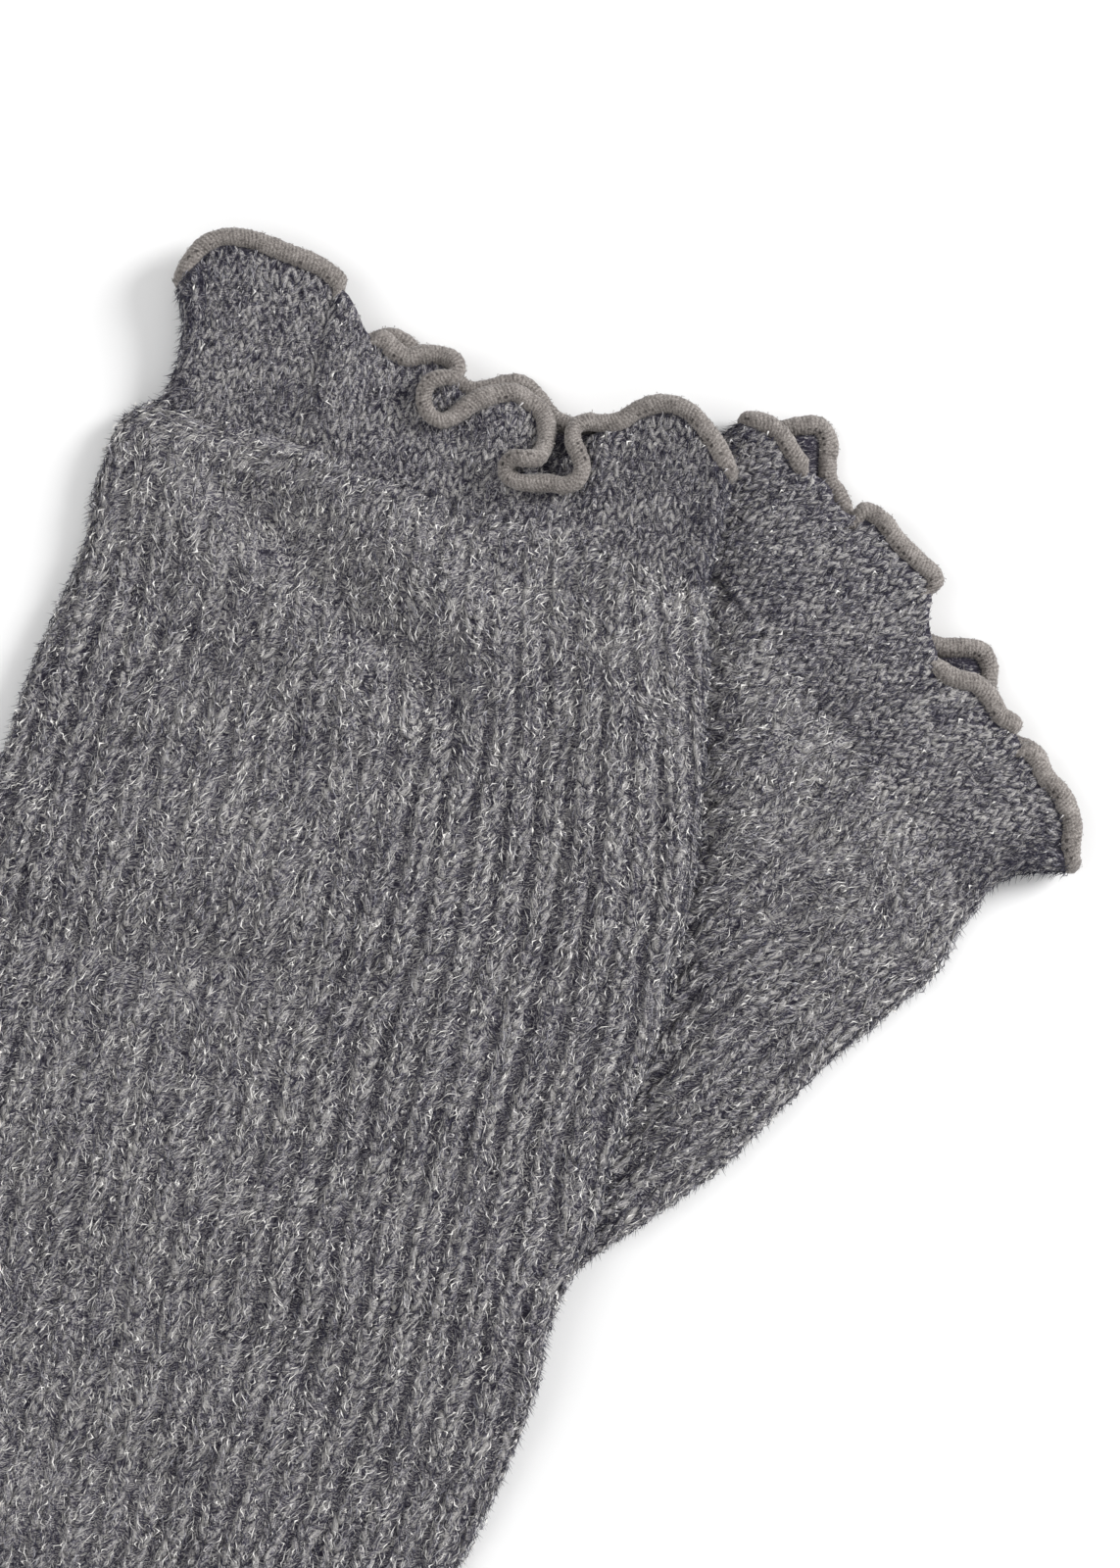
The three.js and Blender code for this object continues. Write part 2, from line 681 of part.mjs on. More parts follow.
// 1 at a fold of the band, fading to 0 on either side of it.
function besideFold(root, fold) {
  const away = (root - fold) - Math.round(root - fold);
  return Math.exp(-((away / WAIST_REACH) ** 2));
}

// The middle of the band's cloth. `v` goes from 0 at the seam to 1 at the rolled edge.
function bandPoint(leg, sample, v) {
  const seam = bandSeamPoint(leg, sample.row.root);
  const end = sample.centre.clone().addScaledVector(sample.side, ROLL_RADIUS + GAP);
  const heading = radians(leg.heading);
  const middle = seam.clone().lerp(end, 0.5);
  middle.x += Math.cos(heading) * sample.row.ahead;
  middle.y += Math.sin(heading) * sample.row.ahead;
  const drawnIn = leg.waist.left * besideFold(sample.row.root, 0)
    - leg.waist.right * besideFold(sample.row.root, 0.5);
  middle.x += Math.sin(heading) * drawnIn;
  middle.y -= Math.cos(heading) * drawnIn;
  middle.z += sample.row.rise;
  const point = seam.multiplyScalar((1 - v) ** 2);
  point.addScaledVector(middle, 2 * v * (1 - v));
  point.addScaledVector(end, v * v);
  return point;
}

function bandShell(leg) {
  const samples = sampleRim(leg, "cloth", BAND_COLUMNS);
  const grid = samples.map((sample) => {
    const strip = [];
    for (let k = 0; k <= BAND_ROWS; k += 1) strip.push(bandPoint(leg, sample, k / BAND_ROWS));
    return strip;
  });
  const wrap = (i) => (i + BAND_COLUMNS) % BAND_COLUMNS;
  const heading = radians(leg.heading);
  const forward = new THREE.Vector3(Math.cos(heading), Math.sin(heading), 0);
  const outward = (i, k) => {
    const round = grid[wrap(i + 1)][k].clone().sub(grid[wrap(i - 1)][k]);
    const up = grid[i][Math.min(k + 1, BAND_ROWS)].clone().sub(grid[i][Math.max(k - 1, 0)]);
    const normal = round.cross(up).normalize();
    if (k > 0) return normal;
    return normal.addScaledVector(forward, -normal.dot(forward)).normalize();
  };
  const body = new Body();
  const sides = [1, -1].map((sign) => {
    const rows = [];
    for (let k = 0; k <= BAND_ROWS; k += 1) {
      const half = mix(BAND_WALL, RIM_WALL, k / BAND_ROWS) / 2;
      rows.push(body.ring(grid.map((strip, i) => {
        const point = strip[k].clone().addScaledVector(outward(i, k), sign * half);
        point.z = Math.max(point.z, carried(leg, point.x, point.y));
        return point.toArray();
      })));
    }
    return rows;
  });
  const [outer, inner] = sides;
  for (let k = 0; k < BAND_ROWS; k += 1) {
    body.bridge(outer[k], outer[k + 1]);
    body.bridge(inner[k], inner[k + 1], true);
  }
  body.bridge(inner[0], outer[0]);
  body.bridge(outer[BAND_ROWS], inner[BAND_ROWS]);
  return body;
}

// ---- The rolled edge ------------------------------------------------------------------------

// Carries a sideways direction along the rim without twisting it, and takes up what is left over
// evenly, so that the roll closes on itself.
function untwisted(samples) {
  const sides = [samples[0].side.clone()];
  const carry = (side, along) =>
    side.clone().addScaledVector(along, -side.dot(along)).normalize();
  sides[0] = carry(sides[0], samples[0].along);
  for (let i = 1; i < samples.length; i += 1) sides.push(carry(sides[i - 1], samples[i].along));
  const closing = carry(sides.at(-1), samples[0].along);
  const twist = Math.atan2(
    closing.clone().cross(sides[0]).dot(samples[0].along),
    closing.dot(sides[0]),
  );
  return sides.map((side, i) =>
    side.applyAxisAngle(samples[i].along, (twist * i) / samples.length));
}

function lettuceRoll(leg, radius) {
  const samples = sampleRim(leg, "roll", ROLL_STEPS);
  const sides = untwisted(samples);
  const body = new Body();
  const rings = samples.map(({ centre, along }, i) => {
    const up = sides[i].clone().cross(along).normalize();
    const points = [];
    for (let k = 0; k < ROLL_SIDES; k += 1) {
      const angle = ((k + 0.5) / ROLL_SIDES) * 2 * Math.PI;
      const point = centre.clone();
      point.addScaledVector(sides[i], Math.cos(angle) * radius);
      point.addScaledVector(up, Math.sin(angle) * radius);
      points.push(point.toArray());
    }
    return body.ring(points);
  });
  rings.forEach((ring, i) => body.bridge(ring, rings[(i + 1) % rings.length]));
  return body;
}

// Takes a body away from another, and keeps the largest piece.
function trimmed(body, tool) {
  const left = solids.Manifold.difference(body.solid(), tool.solid());
  const pieces = left.decompose().sort((a, b) => b.volume() - a.volume());
  const mesh = pieces[0].simplify(0.02).getMesh();
  const geometry = new THREE.BufferGeometry();
  geometry.setAttribute("position", new THREE.Float32BufferAttribute(mesh.vertProperties, 3));
  geometry.setIndex([...mesh.triVerts]);
  geometry.computeVertexNormals();
  return geometry;
}

// ---- The pair -------------------------------------------------------------------------------

const knit = new THREE.MeshStandardMaterial({ color: "#6f6d71", roughness: 0.95, metalness: 0 });
const thread = new THREE.MeshStandardMaterial({ color: "#86807b", roughness: 0.85, metalness: 0 });

const pair = new THREE.Group();

function add(name, geometry, material) {
  const mesh = new THREE.Mesh(geometry, material);
  mesh.name = name;
  pair.add(mesh);
}

for (const leg of [UPPER, LOWER]) {
  add(`${leg.name}_leg`, legTube(leg), knit);
  add(`${leg.name}_band`, trimmed(bandShell(leg), lettuceRoll(leg, ROLL_RADIUS + GAP * 0.8)), knit);
  add(`${leg.name}_lettuce_edge`, lettuceRoll(leg, ROLL_RADIUS).geometry(), thread);
}

// The origin goes to the middle of the pair's box, on the surface it lies on.
const box = new THREE.Box3().setFromObject(pair);
pair.position.set(-(box.min.x + box.max.x) / 2, -(box.min.y + box.max.y) / 2, -box.min.z);

export default pair;
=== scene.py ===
# %% [markdown]
# # A pair of ribbed leg warmers with a lettuce edge
#
# Two knitted leg warmers lie flat, one across the other. Each is a tube of brushed 1x1 rib in
# grey melange yarn. At one end the rib stops, and a short plain band flares out to a rim that is
# stretched and wrapped with thread, so it waves as a lettuce edge. The solids of the pair are
# loaded first. They give the size and the place of everything below.

# %% Load the solids and keep their box
import math

import bpy
import numpy as np
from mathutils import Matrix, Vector


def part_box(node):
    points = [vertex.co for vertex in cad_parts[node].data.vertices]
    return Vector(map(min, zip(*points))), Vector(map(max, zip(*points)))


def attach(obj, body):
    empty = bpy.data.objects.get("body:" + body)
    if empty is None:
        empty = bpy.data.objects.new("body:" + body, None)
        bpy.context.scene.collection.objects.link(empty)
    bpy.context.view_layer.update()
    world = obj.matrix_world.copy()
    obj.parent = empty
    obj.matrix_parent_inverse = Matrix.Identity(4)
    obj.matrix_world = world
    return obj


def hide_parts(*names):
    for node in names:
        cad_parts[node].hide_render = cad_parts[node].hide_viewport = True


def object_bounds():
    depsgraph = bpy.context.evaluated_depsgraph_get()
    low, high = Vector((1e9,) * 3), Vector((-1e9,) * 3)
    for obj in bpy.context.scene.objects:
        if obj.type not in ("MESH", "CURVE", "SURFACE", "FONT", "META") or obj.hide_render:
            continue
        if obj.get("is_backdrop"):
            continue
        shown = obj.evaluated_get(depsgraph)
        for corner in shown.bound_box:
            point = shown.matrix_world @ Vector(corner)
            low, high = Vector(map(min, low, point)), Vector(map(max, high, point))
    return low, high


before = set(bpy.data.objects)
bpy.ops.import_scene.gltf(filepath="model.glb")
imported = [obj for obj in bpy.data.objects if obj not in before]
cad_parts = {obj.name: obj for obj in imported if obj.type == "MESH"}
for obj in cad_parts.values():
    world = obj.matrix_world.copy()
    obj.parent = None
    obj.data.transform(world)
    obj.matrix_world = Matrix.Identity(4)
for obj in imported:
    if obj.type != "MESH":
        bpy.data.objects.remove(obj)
solid_low, solid_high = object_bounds()
print("solids:", sorted(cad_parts))
print("box in mm:", [round(1000 * (b - a), 1) for a, b in zip(solid_low, solid_high)])

# %% [markdown]
# ## Looking straight down
#
# Knitwear laid flat is seen from above, with the page's upright along +Y. A long lens keeps the
# folds and ribs from splaying. The camera looks at the lettuce ends, and the plain ends lie
# outside its view.

# %% Camera
VIEW_CENTRE = (0.09571, 0.11554)
VIEW_TALL = 0.304  # height of the page that the camera takes in
CLOTH_TOP = 0.012
LENS = 100

scene = bpy.context.scene
lens = bpy.data.cameras.new("page_camera")
lens.sensor_fit = "VERTICAL"
lens.sensor_height = 36
lens.sensor_width = 36
lens.lens = LENS
camera = bpy.data.objects.new("page_camera", lens)
camera.location = (*VIEW_CENTRE, CLOTH_TOP + VIEW_TALL * LENS / 36)
scene.collection.objects.link(camera)
scene.camera = camera
scene.view_settings.view_transform = "Standard"
print("camera height:", round(camera.location.z, 3))

# %% [markdown]
# ## A white page and soft light
#
# The light is a large soft panel above and to the upper right, with a second one opposite to fill
# in. Soft brushed wool shows its ribs only when one side of each is a little brighter, so the two
# are not equal. The floor is nearly white, and only the shade close to the cloth shows on it.

# %% Materials and light panels
def new_material(name, settings):
    """A material with some sockets of its shader set. It gives the material, tree and shader."""
    material = bpy.data.materials.new(name)
    material.use_nodes = True
    shader = material.node_tree.nodes["Principled BSDF"]
    for socket, value in settings.items():
        shader.inputs[socket].default_value = value
    return material, material.node_tree, shader


def panel(name, place, size, power):
    light = bpy.data.lights.new(name, "AREA")
    light.shape = "DISK"
    light.size = size
    light.energy = power
    obj = bpy.data.objects.new(name, light)
    obj.location = place
    aim = Vector((*VIEW_CENTRE, 0)) - Vector(place)
    obj.rotation_euler = aim.to_track_quat("-Z", "Y").to_euler()
    scene.collection.objects.link(obj)


panel("main_panel", (1.25, 0.62, 0.72), 0.62, 20.0)
panel("fill_panel", (-0.75, 0.35, 1.2), 0.9, 4.0)
panel("low_panel", (0.35, -0.95, 1.0), 0.8, 0.6)

# %% Sky and floor
FLOOR_REACH = 3  # metres from the middle to each side
FLOOR_DROP = 0.0004  # the floor lies just below the cloth, so the two don't flicker

sky = bpy.data.worlds.new("studio")
sky.use_nodes = True
sky_light = sky.node_tree.nodes["Background"].inputs
sky_light["Color"].default_value = (1, 1, 1, 1)
sky_light["Strength"].default_value = 0.6
scene.world = sky

floor_mesh = bpy.data.meshes.new("page")
corners = [(FLOOR_REACH * x, FLOOR_REACH * y, 0) for x, y in ((-1, -1), (1, -1), (1, 1), (-1, 1))]
floor_mesh.from_pydata(corners, [], [(0, 1, 2, 3)])
page = bpy.data.objects.new("page", floor_mesh)
page.location.z = -FLOOR_DROP
scene.collection.objects.link(page)
paper = new_material("page_white", {
    "Base Color": (0.93, 0.93, 0.93, 1), "Roughness": 1.0, "Specular IOR Level": 0.0})[0]
floor_mesh.materials.append(paper)
page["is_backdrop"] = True
print("floor:", page.name, "with", paper.name)

# %% [markdown]
# ## How each leg warmer lies
#
# The cloth follows the same rules as the solids. Each leg warmer has axes of its own: `across`
# runs from its left fold to its right fold, and `down` runs from the lettuce end to the plain end.
# Small tables give its half widths, its soft swellings and the turns of its rim. All of these
# sizes are in millimetres.

# %% Sizes of the cloth
WALL = 2.2
RIB_HEIGHT = 0.4
RIBS = 44
GAP = 0.3  # left between two pieces
HOLLOW = 0.6  # the slit that is left inside a pressed tube
PRESSED = 2 * WALL + HOLLOW
LENGTH = 420
BAND_WALL = 1.8  # the band's cloth at the seam
RIM_WALL = 1.6  # and at the rim
ROLL_RADIUS = 1.9
BAND = 26  # height of the plain band
MIDDLE = (-95.712, -115.542)  # middle of the pair's box, in the axes that both legs are placed in


def table(columns, rows):
    values = [[row[i] for row in rows] for i in range(len(columns))]
    return {name: value if isinstance(value[0], str) else np.array(value, float)
            for name, value in zip(columns, values)}


print("pressed flat, a tube is", PRESSED, "mm thick")

# %% Half widths and swellings
WIDTH_COLUMNS = ["down", "left", "right"]
SWELL_COLUMNS = ["fromAcross", "fromDown", "toAcross", "toDown", "spread", "height"]

UPPER_WIDTHS = table(WIDTH_COLUMNS, [
    (-12, 57.0, 56.0), (0, 56.0, 56.8), (10, 52.4, 57.2), (20, 50.2, 58.4), (26, 52.4, 59.8),
    (30, 57.4, 61.2), (37, 58.9, 63.6), (46, 58.9, 66.2), (56, 57.2, 69.2), (66, 57.4, 72.0),
    (80, 58.6, 75.4), (92, 59.0, 77.2), (110, 59.4, 78.8), (137, 59.6, 78.0), (152, 60.0, 79.2),
    (167, 60.0, 77.8), (185, 60.2, 79.2), (204, 60.3, 78.2), (225, 60.4, 75.8), (290, 59.0, 75.0),
    (370, 57.2, 74.6), (420, 58.6, 75.6),
])

LOWER_WIDTHS = table(WIDTH_COLUMNS, [
    (-16, 41.0, 64.0), (3, 42.0, 65.8), (10, 42.8, 60.6), (16, 43.6, 58.6), (24, 45.4, 58.8),
    (30, 47.0, 60.8), (36, 49.0, 62.0), (44, 51.6, 61.2), (54, 54.6, 60.6), (70, 58.6, 60.0),
    (84, 61.6, 60.4), (96, 63.6, 60.4), (108, 65.4, 58.6), (134, 68.4, 54.4), (180, 70.6, 53.6),
    (260, 71.0, 53.8), (350, 69.6, 52.6), (420, 71.0, 54.0),
])

UPPER_SWELLS = table(SWELL_COLUMNS, [
    (-17, 26, 20, 47, 9, 2.4), (-42, 44, 4, 72, 9, 1.9), (-52, 116, 20, 113, 12, 1.6),
    (46, 30, 62, 98, 8, 1.8), (30, 96, 44, 138, 10, 1.5), (44, 182, 70, 164, 8, 2.2),
    (-14, 170, 30, 178, 12, 1.7), (-44, 205, -12, 236, 12, 1.8), (24, 214, 52, 262, 11, 1.9),
    (-24, 284, 26, 302, 15, 1.9), (26, 336, 54, 366, 15, 1.6),
])

LOWER_SWELLS = table(SWELL_COLUMNS, [
    (-12, 12, 16, 46, 9, 1.8), (24, 10, 34, 42, 9, 2.0), (46, 16, 45, 66, 8, 1.7),
    (44, 82, 50, 98, 6, 1.3), (-54, 252, -42, 292, 13, 1.6), (-44, 330, -20, 364, 15, 1.7),
])

UPPER = {
    "lettuceEnd": (-19.9, 82.3),
    "heading": 71,
    "wander": 5,
    "seam": BAND,
    "seamTilt": 0,
    "widths": UPPER_WIDTHS,
    "swells": UPPER_SWELLS,
    "backLow": 5.5,
    "backLift": 2.25,
    "waist": (6, 0),
    "slack": 0.55,
    "pileFull": 265,
}

LOWER = {
    "lettuceEnd": (58.6, 35.2),
    "heading": 44,
    "wander": 1.5,
    "seam": 18,
    "seamTilt": 0.1,
    "widths": LOWER_WIDTHS,
    "swells": LOWER_SWELLS,
    "backLow": 0.5,
    "backLift": 2.25,
    "waist": (0, 7),
    "slack": 0.3,
    "pileFull": 140,
}
print("rows in the tables:", [len(leg[t]["left" if t == "widths" else "height"])
                              for leg in (UPPER, LOWER) for t in ("widths", "swells")])

# %% [markdown]
# ## From tables to places
#
# A smooth curve through each table's rows gives a value anywhere between them. These helpers work
# on whole arrays, so one call places thousands of points.

# %% Curves through the tables
def ease(x):
    t = np.clip(x, 0, 1)
    return t * t * (3 - 2 * t)


def through_points(knots, values, at):
    knots, values = np.asarray(knots, float), np.asarray(values, float)
    last = len(knots) - 1
    x = np.clip(at, knots[0], knots[last])
    i = np.clip(np.searchsorted(knots, x, side="left") - 1, 0, last - 1)
    gaps = np.diff(knots)
    rates = np.diff(values) / gaps
    slopes = np.empty(last + 1)
    slopes[0], slopes[last] = rates[0], rates[-1]
    slopes[1:last] = (rates[:-1] * gaps[1:] + rates[1:] * gaps[:-1]) / (gaps[:-1] + gaps[1:])
    step = gaps[i]
    t = (x - knots[i]) / step
    return ((2 * t**3 - 3 * t**2 + 1) * values[i] + (t**3 - 2 * t**2 + t) * step * slopes[i]
            + (3 * t**2 - 2 * t**3) * values[i + 1] + (t**3 - t**2) * step * slopes[i + 1])


def left_width(leg, down):
    return through_points(leg["widths"]["down"], leg["widths"]["left"], down)


def right_width(leg, down):
    return through_points(leg["widths"]["down"], leg["widths"]["right"], down)


print("upper leg, half widths at 100 mm:", left_width(UPPER, 100.0), right_width(UPPER, 100.0))


# %% Placing a leg warmer on the page
def to_plan(leg, across, down):
    angle = math.radians(leg["heading"])
    x, y = leg["lettuceEnd"]
    return (x - down * math.cos(angle) + across * math.sin(angle),
            y - down * math.sin(angle) - across * math.cos(angle))


def to_leg(leg, x, y):
    angle = math.radians(leg["heading"])
    dx, dy = x - leg["lettuceEnd"][0], y - leg["lettuceEnd"][1]
    return (dx * math.sin(angle) - dy * math.cos(angle),
            -dx * math.cos(angle) - dy * math.sin(angle))


place = to_plan(UPPER, 10.0, 50.0)
print("on the page:", np.round(place, 1), "and back on the leg:", np.round(to_leg(UPPER, *place), 1))


# %% Ridges and swellings
FOLD_FLAT = 12  # swellings and creases fade out over this distance from a fold


def ridge_sum(rows, across, down):
    height = np.zeros(np.broadcast(across, down).shape)
    for a, b, c, d, spread, tall in zip(*(rows[name] for name in SWELL_COLUMNS)):
        run = math.hypot(c - a, d - b)
        along = ((across - a) * (c - a) + (down - b) * (d - b)) / run
        aside = ((across - a) * (d - b) - (down - b) * (c - a)) / run
        past = np.maximum(np.maximum(-along, along - run), 0)
        height = height + tall * np.exp(-(aside**2 + past**2) / spread**2)
    return height


def swell(leg, across, down):
    to_fold = np.minimum(across + left_width(leg, down), right_width(leg, down) - across)
    return ridge_sum(leg["swells"], across, down) * ease(to_fold / FOLD_FLAT)


swelling = swell(UPPER, np.array(0.0), np.array(45.0))
print("swelling of the upper leg at 45 mm:", round(float(swelling), 2), "mm")


# %% The upper one drapes over the lower one
DRAPE_HEIGHT = PRESSED + RIB_HEIGHT + GAP * 1.9
DRAPE_FALL = 28  # how far out the upper cloth needs to come down again
DRAPE_MARGIN = 2.5
RIM_STAND = 2.4  # how far the lower rim stands up under the upper cloth


def carried(leg, x, y):
    if leg is LOWER:
        return np.zeros(np.broadcast(x, y).shape)
    across, down = to_leg(LOWER, x, y)
    inside = np.minimum(np.minimum(across + left_width(LOWER, down),
                                   right_width(LOWER, down) - across),
                        np.minimum(down + 2, LENGTH - down))
    height = DRAPE_HEIGHT + swell(LOWER, across, down) + RIM_STAND * ease((12 - down) / 14)
    return height * ease((inside + DRAPE_MARGIN + DRAPE_FALL) / DRAPE_FALL)


drape = carried(UPPER, np.array(0.0), np.array(-40.0))
print("drape over the lower leg:", round(float(drape), 2), "mm")

# %% [markdown]
# ## The flattened tube
#
# Pressed flat, a tube is two panels joined by two rounded folds. One number, `turn`, goes round
# it: 0 at the left fold, over the front to 0.5 at the right fold, and back underneath to 1. The
# rib is 44 waves round the tube, high on the front and pressed flat underneath. On top of the
# swellings come finer creases, which are shallow and uneven, as in cloth that has been worn. The
# grooves between the ribs are soft just below the band and where the cloth lies slack, and deepen
# where it is stretched. A cloth simulation could drape all this, but it can't be told where each
# fold should fall, so every soft fold is a row in a table.

# %% Creases of each leg warmer
UPPER["creases"] = table(SWELL_COLUMNS, [
    (-35, 40, 18, 64, 5, -2.2), (-26, 29, 28, 52, 6, 1.2), (-52, 137, -8, 129, 6, -1.8),
    (-8, 129, 32, 119, 6, -1.7), (-48, 122, 28, 106, 9, 0.7), (28, 152, 48, 147, 9, 1.0),
    (-4, 230, 44, 219, 7, -1.6), (52, 150, 74, 146, 5, -0.9), (50, 168, 76, 176, 6, 0.6),
    (-50, 70, -22, 92, 7, 0.5), (10, 84, 42, 70, 7, -0.6), (-40, 178, -8, 196, 8, -0.6),
    (34, 196, 66, 214, 7, -0.7), (-52, 246, -16, 240, 9, 0.6), (8, 250, 40, 238, 8, -0.6),
    (-44, 300, -8, 318, 9, -0.6), (20, 312, 60, 300, 8, 0.6), (-20, 366, 30, 384, 9, -0.6),
])
LOWER["creases"] = table(SWELL_COLUMNS, [
    (-22, 20, 10, 55, 6, -1.2), (10, 55, 34, 84, 6, -1.7), (34, 84, 50, 112, 6, -1.5),
    (30, 40, 52, 78, 6, -0.8), (40, 30, 56, 46, 5, 0.5),
    (30, 96, 48, 116, 6, -0.7), (-40, 210, 6, 224, 9, -0.6), (-56, 262, -30, 250, 8, 0.5),
    (-60, 300, -20, 318, 9, -0.7), (-50, 372, -10, 384, 9, -0.6), (0, 320, 36, 300, 9, 0.5),
])
print("creases:", len(UPPER["creases"]["height"]), "and", len(LOWER["creases"]["height"]))


# %% Rings of cloth
GROOVE = 2.2  # a groove is this much deeper than a rib is high
DEEPEST = 1.5  # a crease presses the front panel down onto the back one, and no further
GROOVE_FADE = 60  # below the band the cloth is stretched, and the grooves deepen over this length


def flat_ring(left, right, radius, turn):
    straight = left + right - 2 * radius
    perimeter = 2 * straight + 2 * math.pi * radius
    quarter = math.pi * radius / 2
    whole = turn - np.floor(turn)
    under = whole > 0.5
    run = np.where(under, whole - 0.5, whole) * perimeter
    at_left, on_flat = run < quarter, run < quarter + straight
    past_flat = (run - quarter - straight) / radius
    angle = np.where(at_left, math.pi - run / radius,
                     np.where(on_flat, math.pi / 2, math.pi / 2 - past_flat))
    across = np.where(at_left, -left + radius + radius * np.cos(angle),
                      np.where(on_flat, -left + radius + run - quarter,
                               right - radius + radius * np.cos(angle)))
    height, out_across, out_up = radius * np.sin(angle), np.cos(angle), np.sin(angle)
    side = np.where(under, -1, 1)
    across = np.where(under, right - left - across, across)
    return across, side * height, side * out_across, side * out_up


ring = flat_ring(55.0, 55.0, PRESSED / 2, np.arange(4) / 4)
print("quarter turns lie at", np.round(ring[0], 1), "across and", np.round(ring[1], 1), "up")


# %% Ribs and creases on the rings
def slanted(leg, across, down):
    return down + leg["seamTilt"] * across * (1 - ease((down - leg["seam"]) / 90))


def ribs_turned(leg, down, inset=0.0):
    around = 2 * (left_width(leg, down) + right_width(leg, down) - 2 * inset)
    return math.tan(math.radians(leg["wander"])) * down / around


def rib_drift(turn, down):
    """How far a worn rib strays to the side of its line, as a share of the way round."""
    slow = (np.sin(2 * math.pi * (down / 57 + 3 * turn))
            * np.sin(2 * math.pi * (down / 131 + 2 * turn) + 1))
    return 0.0020 * slow + 0.0008 * np.sin(2 * math.pi * (down / 23 + 7 * turn))


def grooved(leg, turn, down):
    """How deep the grooves are, from 0 below the band to 1, and less where the cloth lies slack."""
    whole = turn - np.floor(turn)
    slack = leg["slack"] * ease(np.minimum(whole - 0.03, 0.33 - whole) / 0.1)
    slack = slack * ease((400 - down) / 90)
    return ease((down - leg["seam"]) / GROOVE_FADE) * (1 - slack)


def rib_wave(leg, turn, down, inset=0.0):
    """1 on the crest of a rib and -1 in the groove beside it."""
    strayed = turn - ribs_turned(leg, down, inset) - rib_drift(turn, down)
    return np.cos(2 * math.pi * RIBS * strayed)


def tube_points(leg, turn, down, radius=PRESSED / 2, inset=0.0, rib=0.0, out=0.0):
    """Places on the tube. `rib` is the height of the ribs, `out` a distance off the cloth."""
    left, right = left_width(leg, down) - inset, right_width(leg, down) - inset
    across, height, out_across, out_up = flat_ring(left, right, radius, turn)
    wave = rib_wave(leg, turn, down, inset)
    groove = 0.5 + (GROOVE - 0.5) * grooved(leg, turn, down)
    relief = rib * np.where(wave > 0, wave, wave * groove) * ease(out_up + 0.9) + out
    across = across + out_across * relief
    slid = slanted(leg, across, down)
    x, y = to_plan(leg, across, slid)
    to_fold = np.minimum(across + left_width(leg, slid), right_width(leg, slid) - across)
    crease = ridge_sum(leg["creases"], across, slid) * ease(to_fold / FOLD_FLAT)
    lifted = np.maximum(swell(leg, across, slid) + crease, -DEEPEST) * ease(out_up * 2)
    z = PRESSED / 2 + height + out_up * relief + lifted + carried(leg, x, y)
    return np.stack(np.broadcast_arrays(x, y, z), -1)


def in_metres(points):
    points = np.asarray(points, float).reshape(-1, 3)
    return (points - (*MIDDLE, 0)) / 1000


crest = tube_points(UPPER, np.array(0.25), np.array(60.0))
print("the middle of the upper leg's front, in metres:", in_metres(crest))


# %% Faces of a grid
def grid_faces(rows, columns, start=0, flip=False):
    """Quads between neighbouring rows of a grid whose columns close round."""
    r, c = np.meshgrid(np.arange(rows - 1), np.arange(columns), indexing="ij")
    a = start + r * columns + c
    b = start + r * columns + (c + 1) % columns
    quads = np.stack([a, b, b + columns, a + columns], -1).reshape(-1, 4)
    return quads[:, ::-1] if flip else quads


def edge_faces(first, second, columns, flip=False):
    here = np.arange(columns)
    ahead = (here + 1) % columns
    quads = np.stack([first + here, first + ahead, second + ahead, second + here], -1)
    return quads[:, ::-1] if flip else quads


print("a grid of 3 rows and 4 columns has", len(grid_faces(3, 4)), "faces")


# %% Objects and closed walls
def make_object(name, points, faces=()):
    mesh = bpy.data.meshes.new(name)
    mesh.from_pydata(in_metres(points).tolist(), [], np.asarray(faces).tolist())
    mesh.validate()
    mesh.polygons.foreach_set("use_smooth", [True] * len(mesh.polygons))
    obj = bpy.data.objects.new(name, mesh)
    scene.collection.objects.link(obj)
    mesh.update()
    return obj


def face_outwards(obj):
    """Turns a closed mesh the other way round if its volume comes out negative."""
    mesh = obj.data
    mesh.calc_loop_triangles()
    corners = ([mesh.vertices[i].co for i in t.vertices] for t in mesh.loop_triangles)
    if sum(a.dot(b.cross(c)) for a, b, c in corners) < 0:
        mesh.flip_normals()


def closed_wall(name, outer, inner):
    """A wall from an outer and an inner grid of the same size, joined round both ends."""
    rows, columns = outer.shape[:2]
    points = np.concatenate([outer.reshape(-1, 3), inner.reshape(-1, 3)])
    start = rows * columns
    faces = np.concatenate([
        grid_faces(rows, columns),
        grid_faces(rows, columns, start, flip=True),
        edge_faces(start, 0, columns),
        edge_faces(start - columns, 2 * start - columns, columns),
    ])
    obj = make_object(name, points, faces)
    face_outwards(obj)
    return obj


# %% Numbers and directions kept on a mesh
def set_number(obj, name, values):
    layer = obj.data.attributes.new(name, "FLOAT", "POINT")
    layer.data.foreach_set("value", np.asarray(values, float).ravel())


def set_direction(obj, name, values):
    layer = obj.data.attributes.new(name, "FLOAT_VECTOR", "POINT")
    layer.data.foreach_set("vector", np.asarray(values, float).ravel())


print("helpers:", [helper.__name__ for helper in (closed_wall, set_number, set_direction)])


# %% The ribbed tubes
AROUND = RIBS * 4
DOWN_STEP = 6.0
TUCK = 0.7  # the rib and the plain band run into each other this far, so no join shows


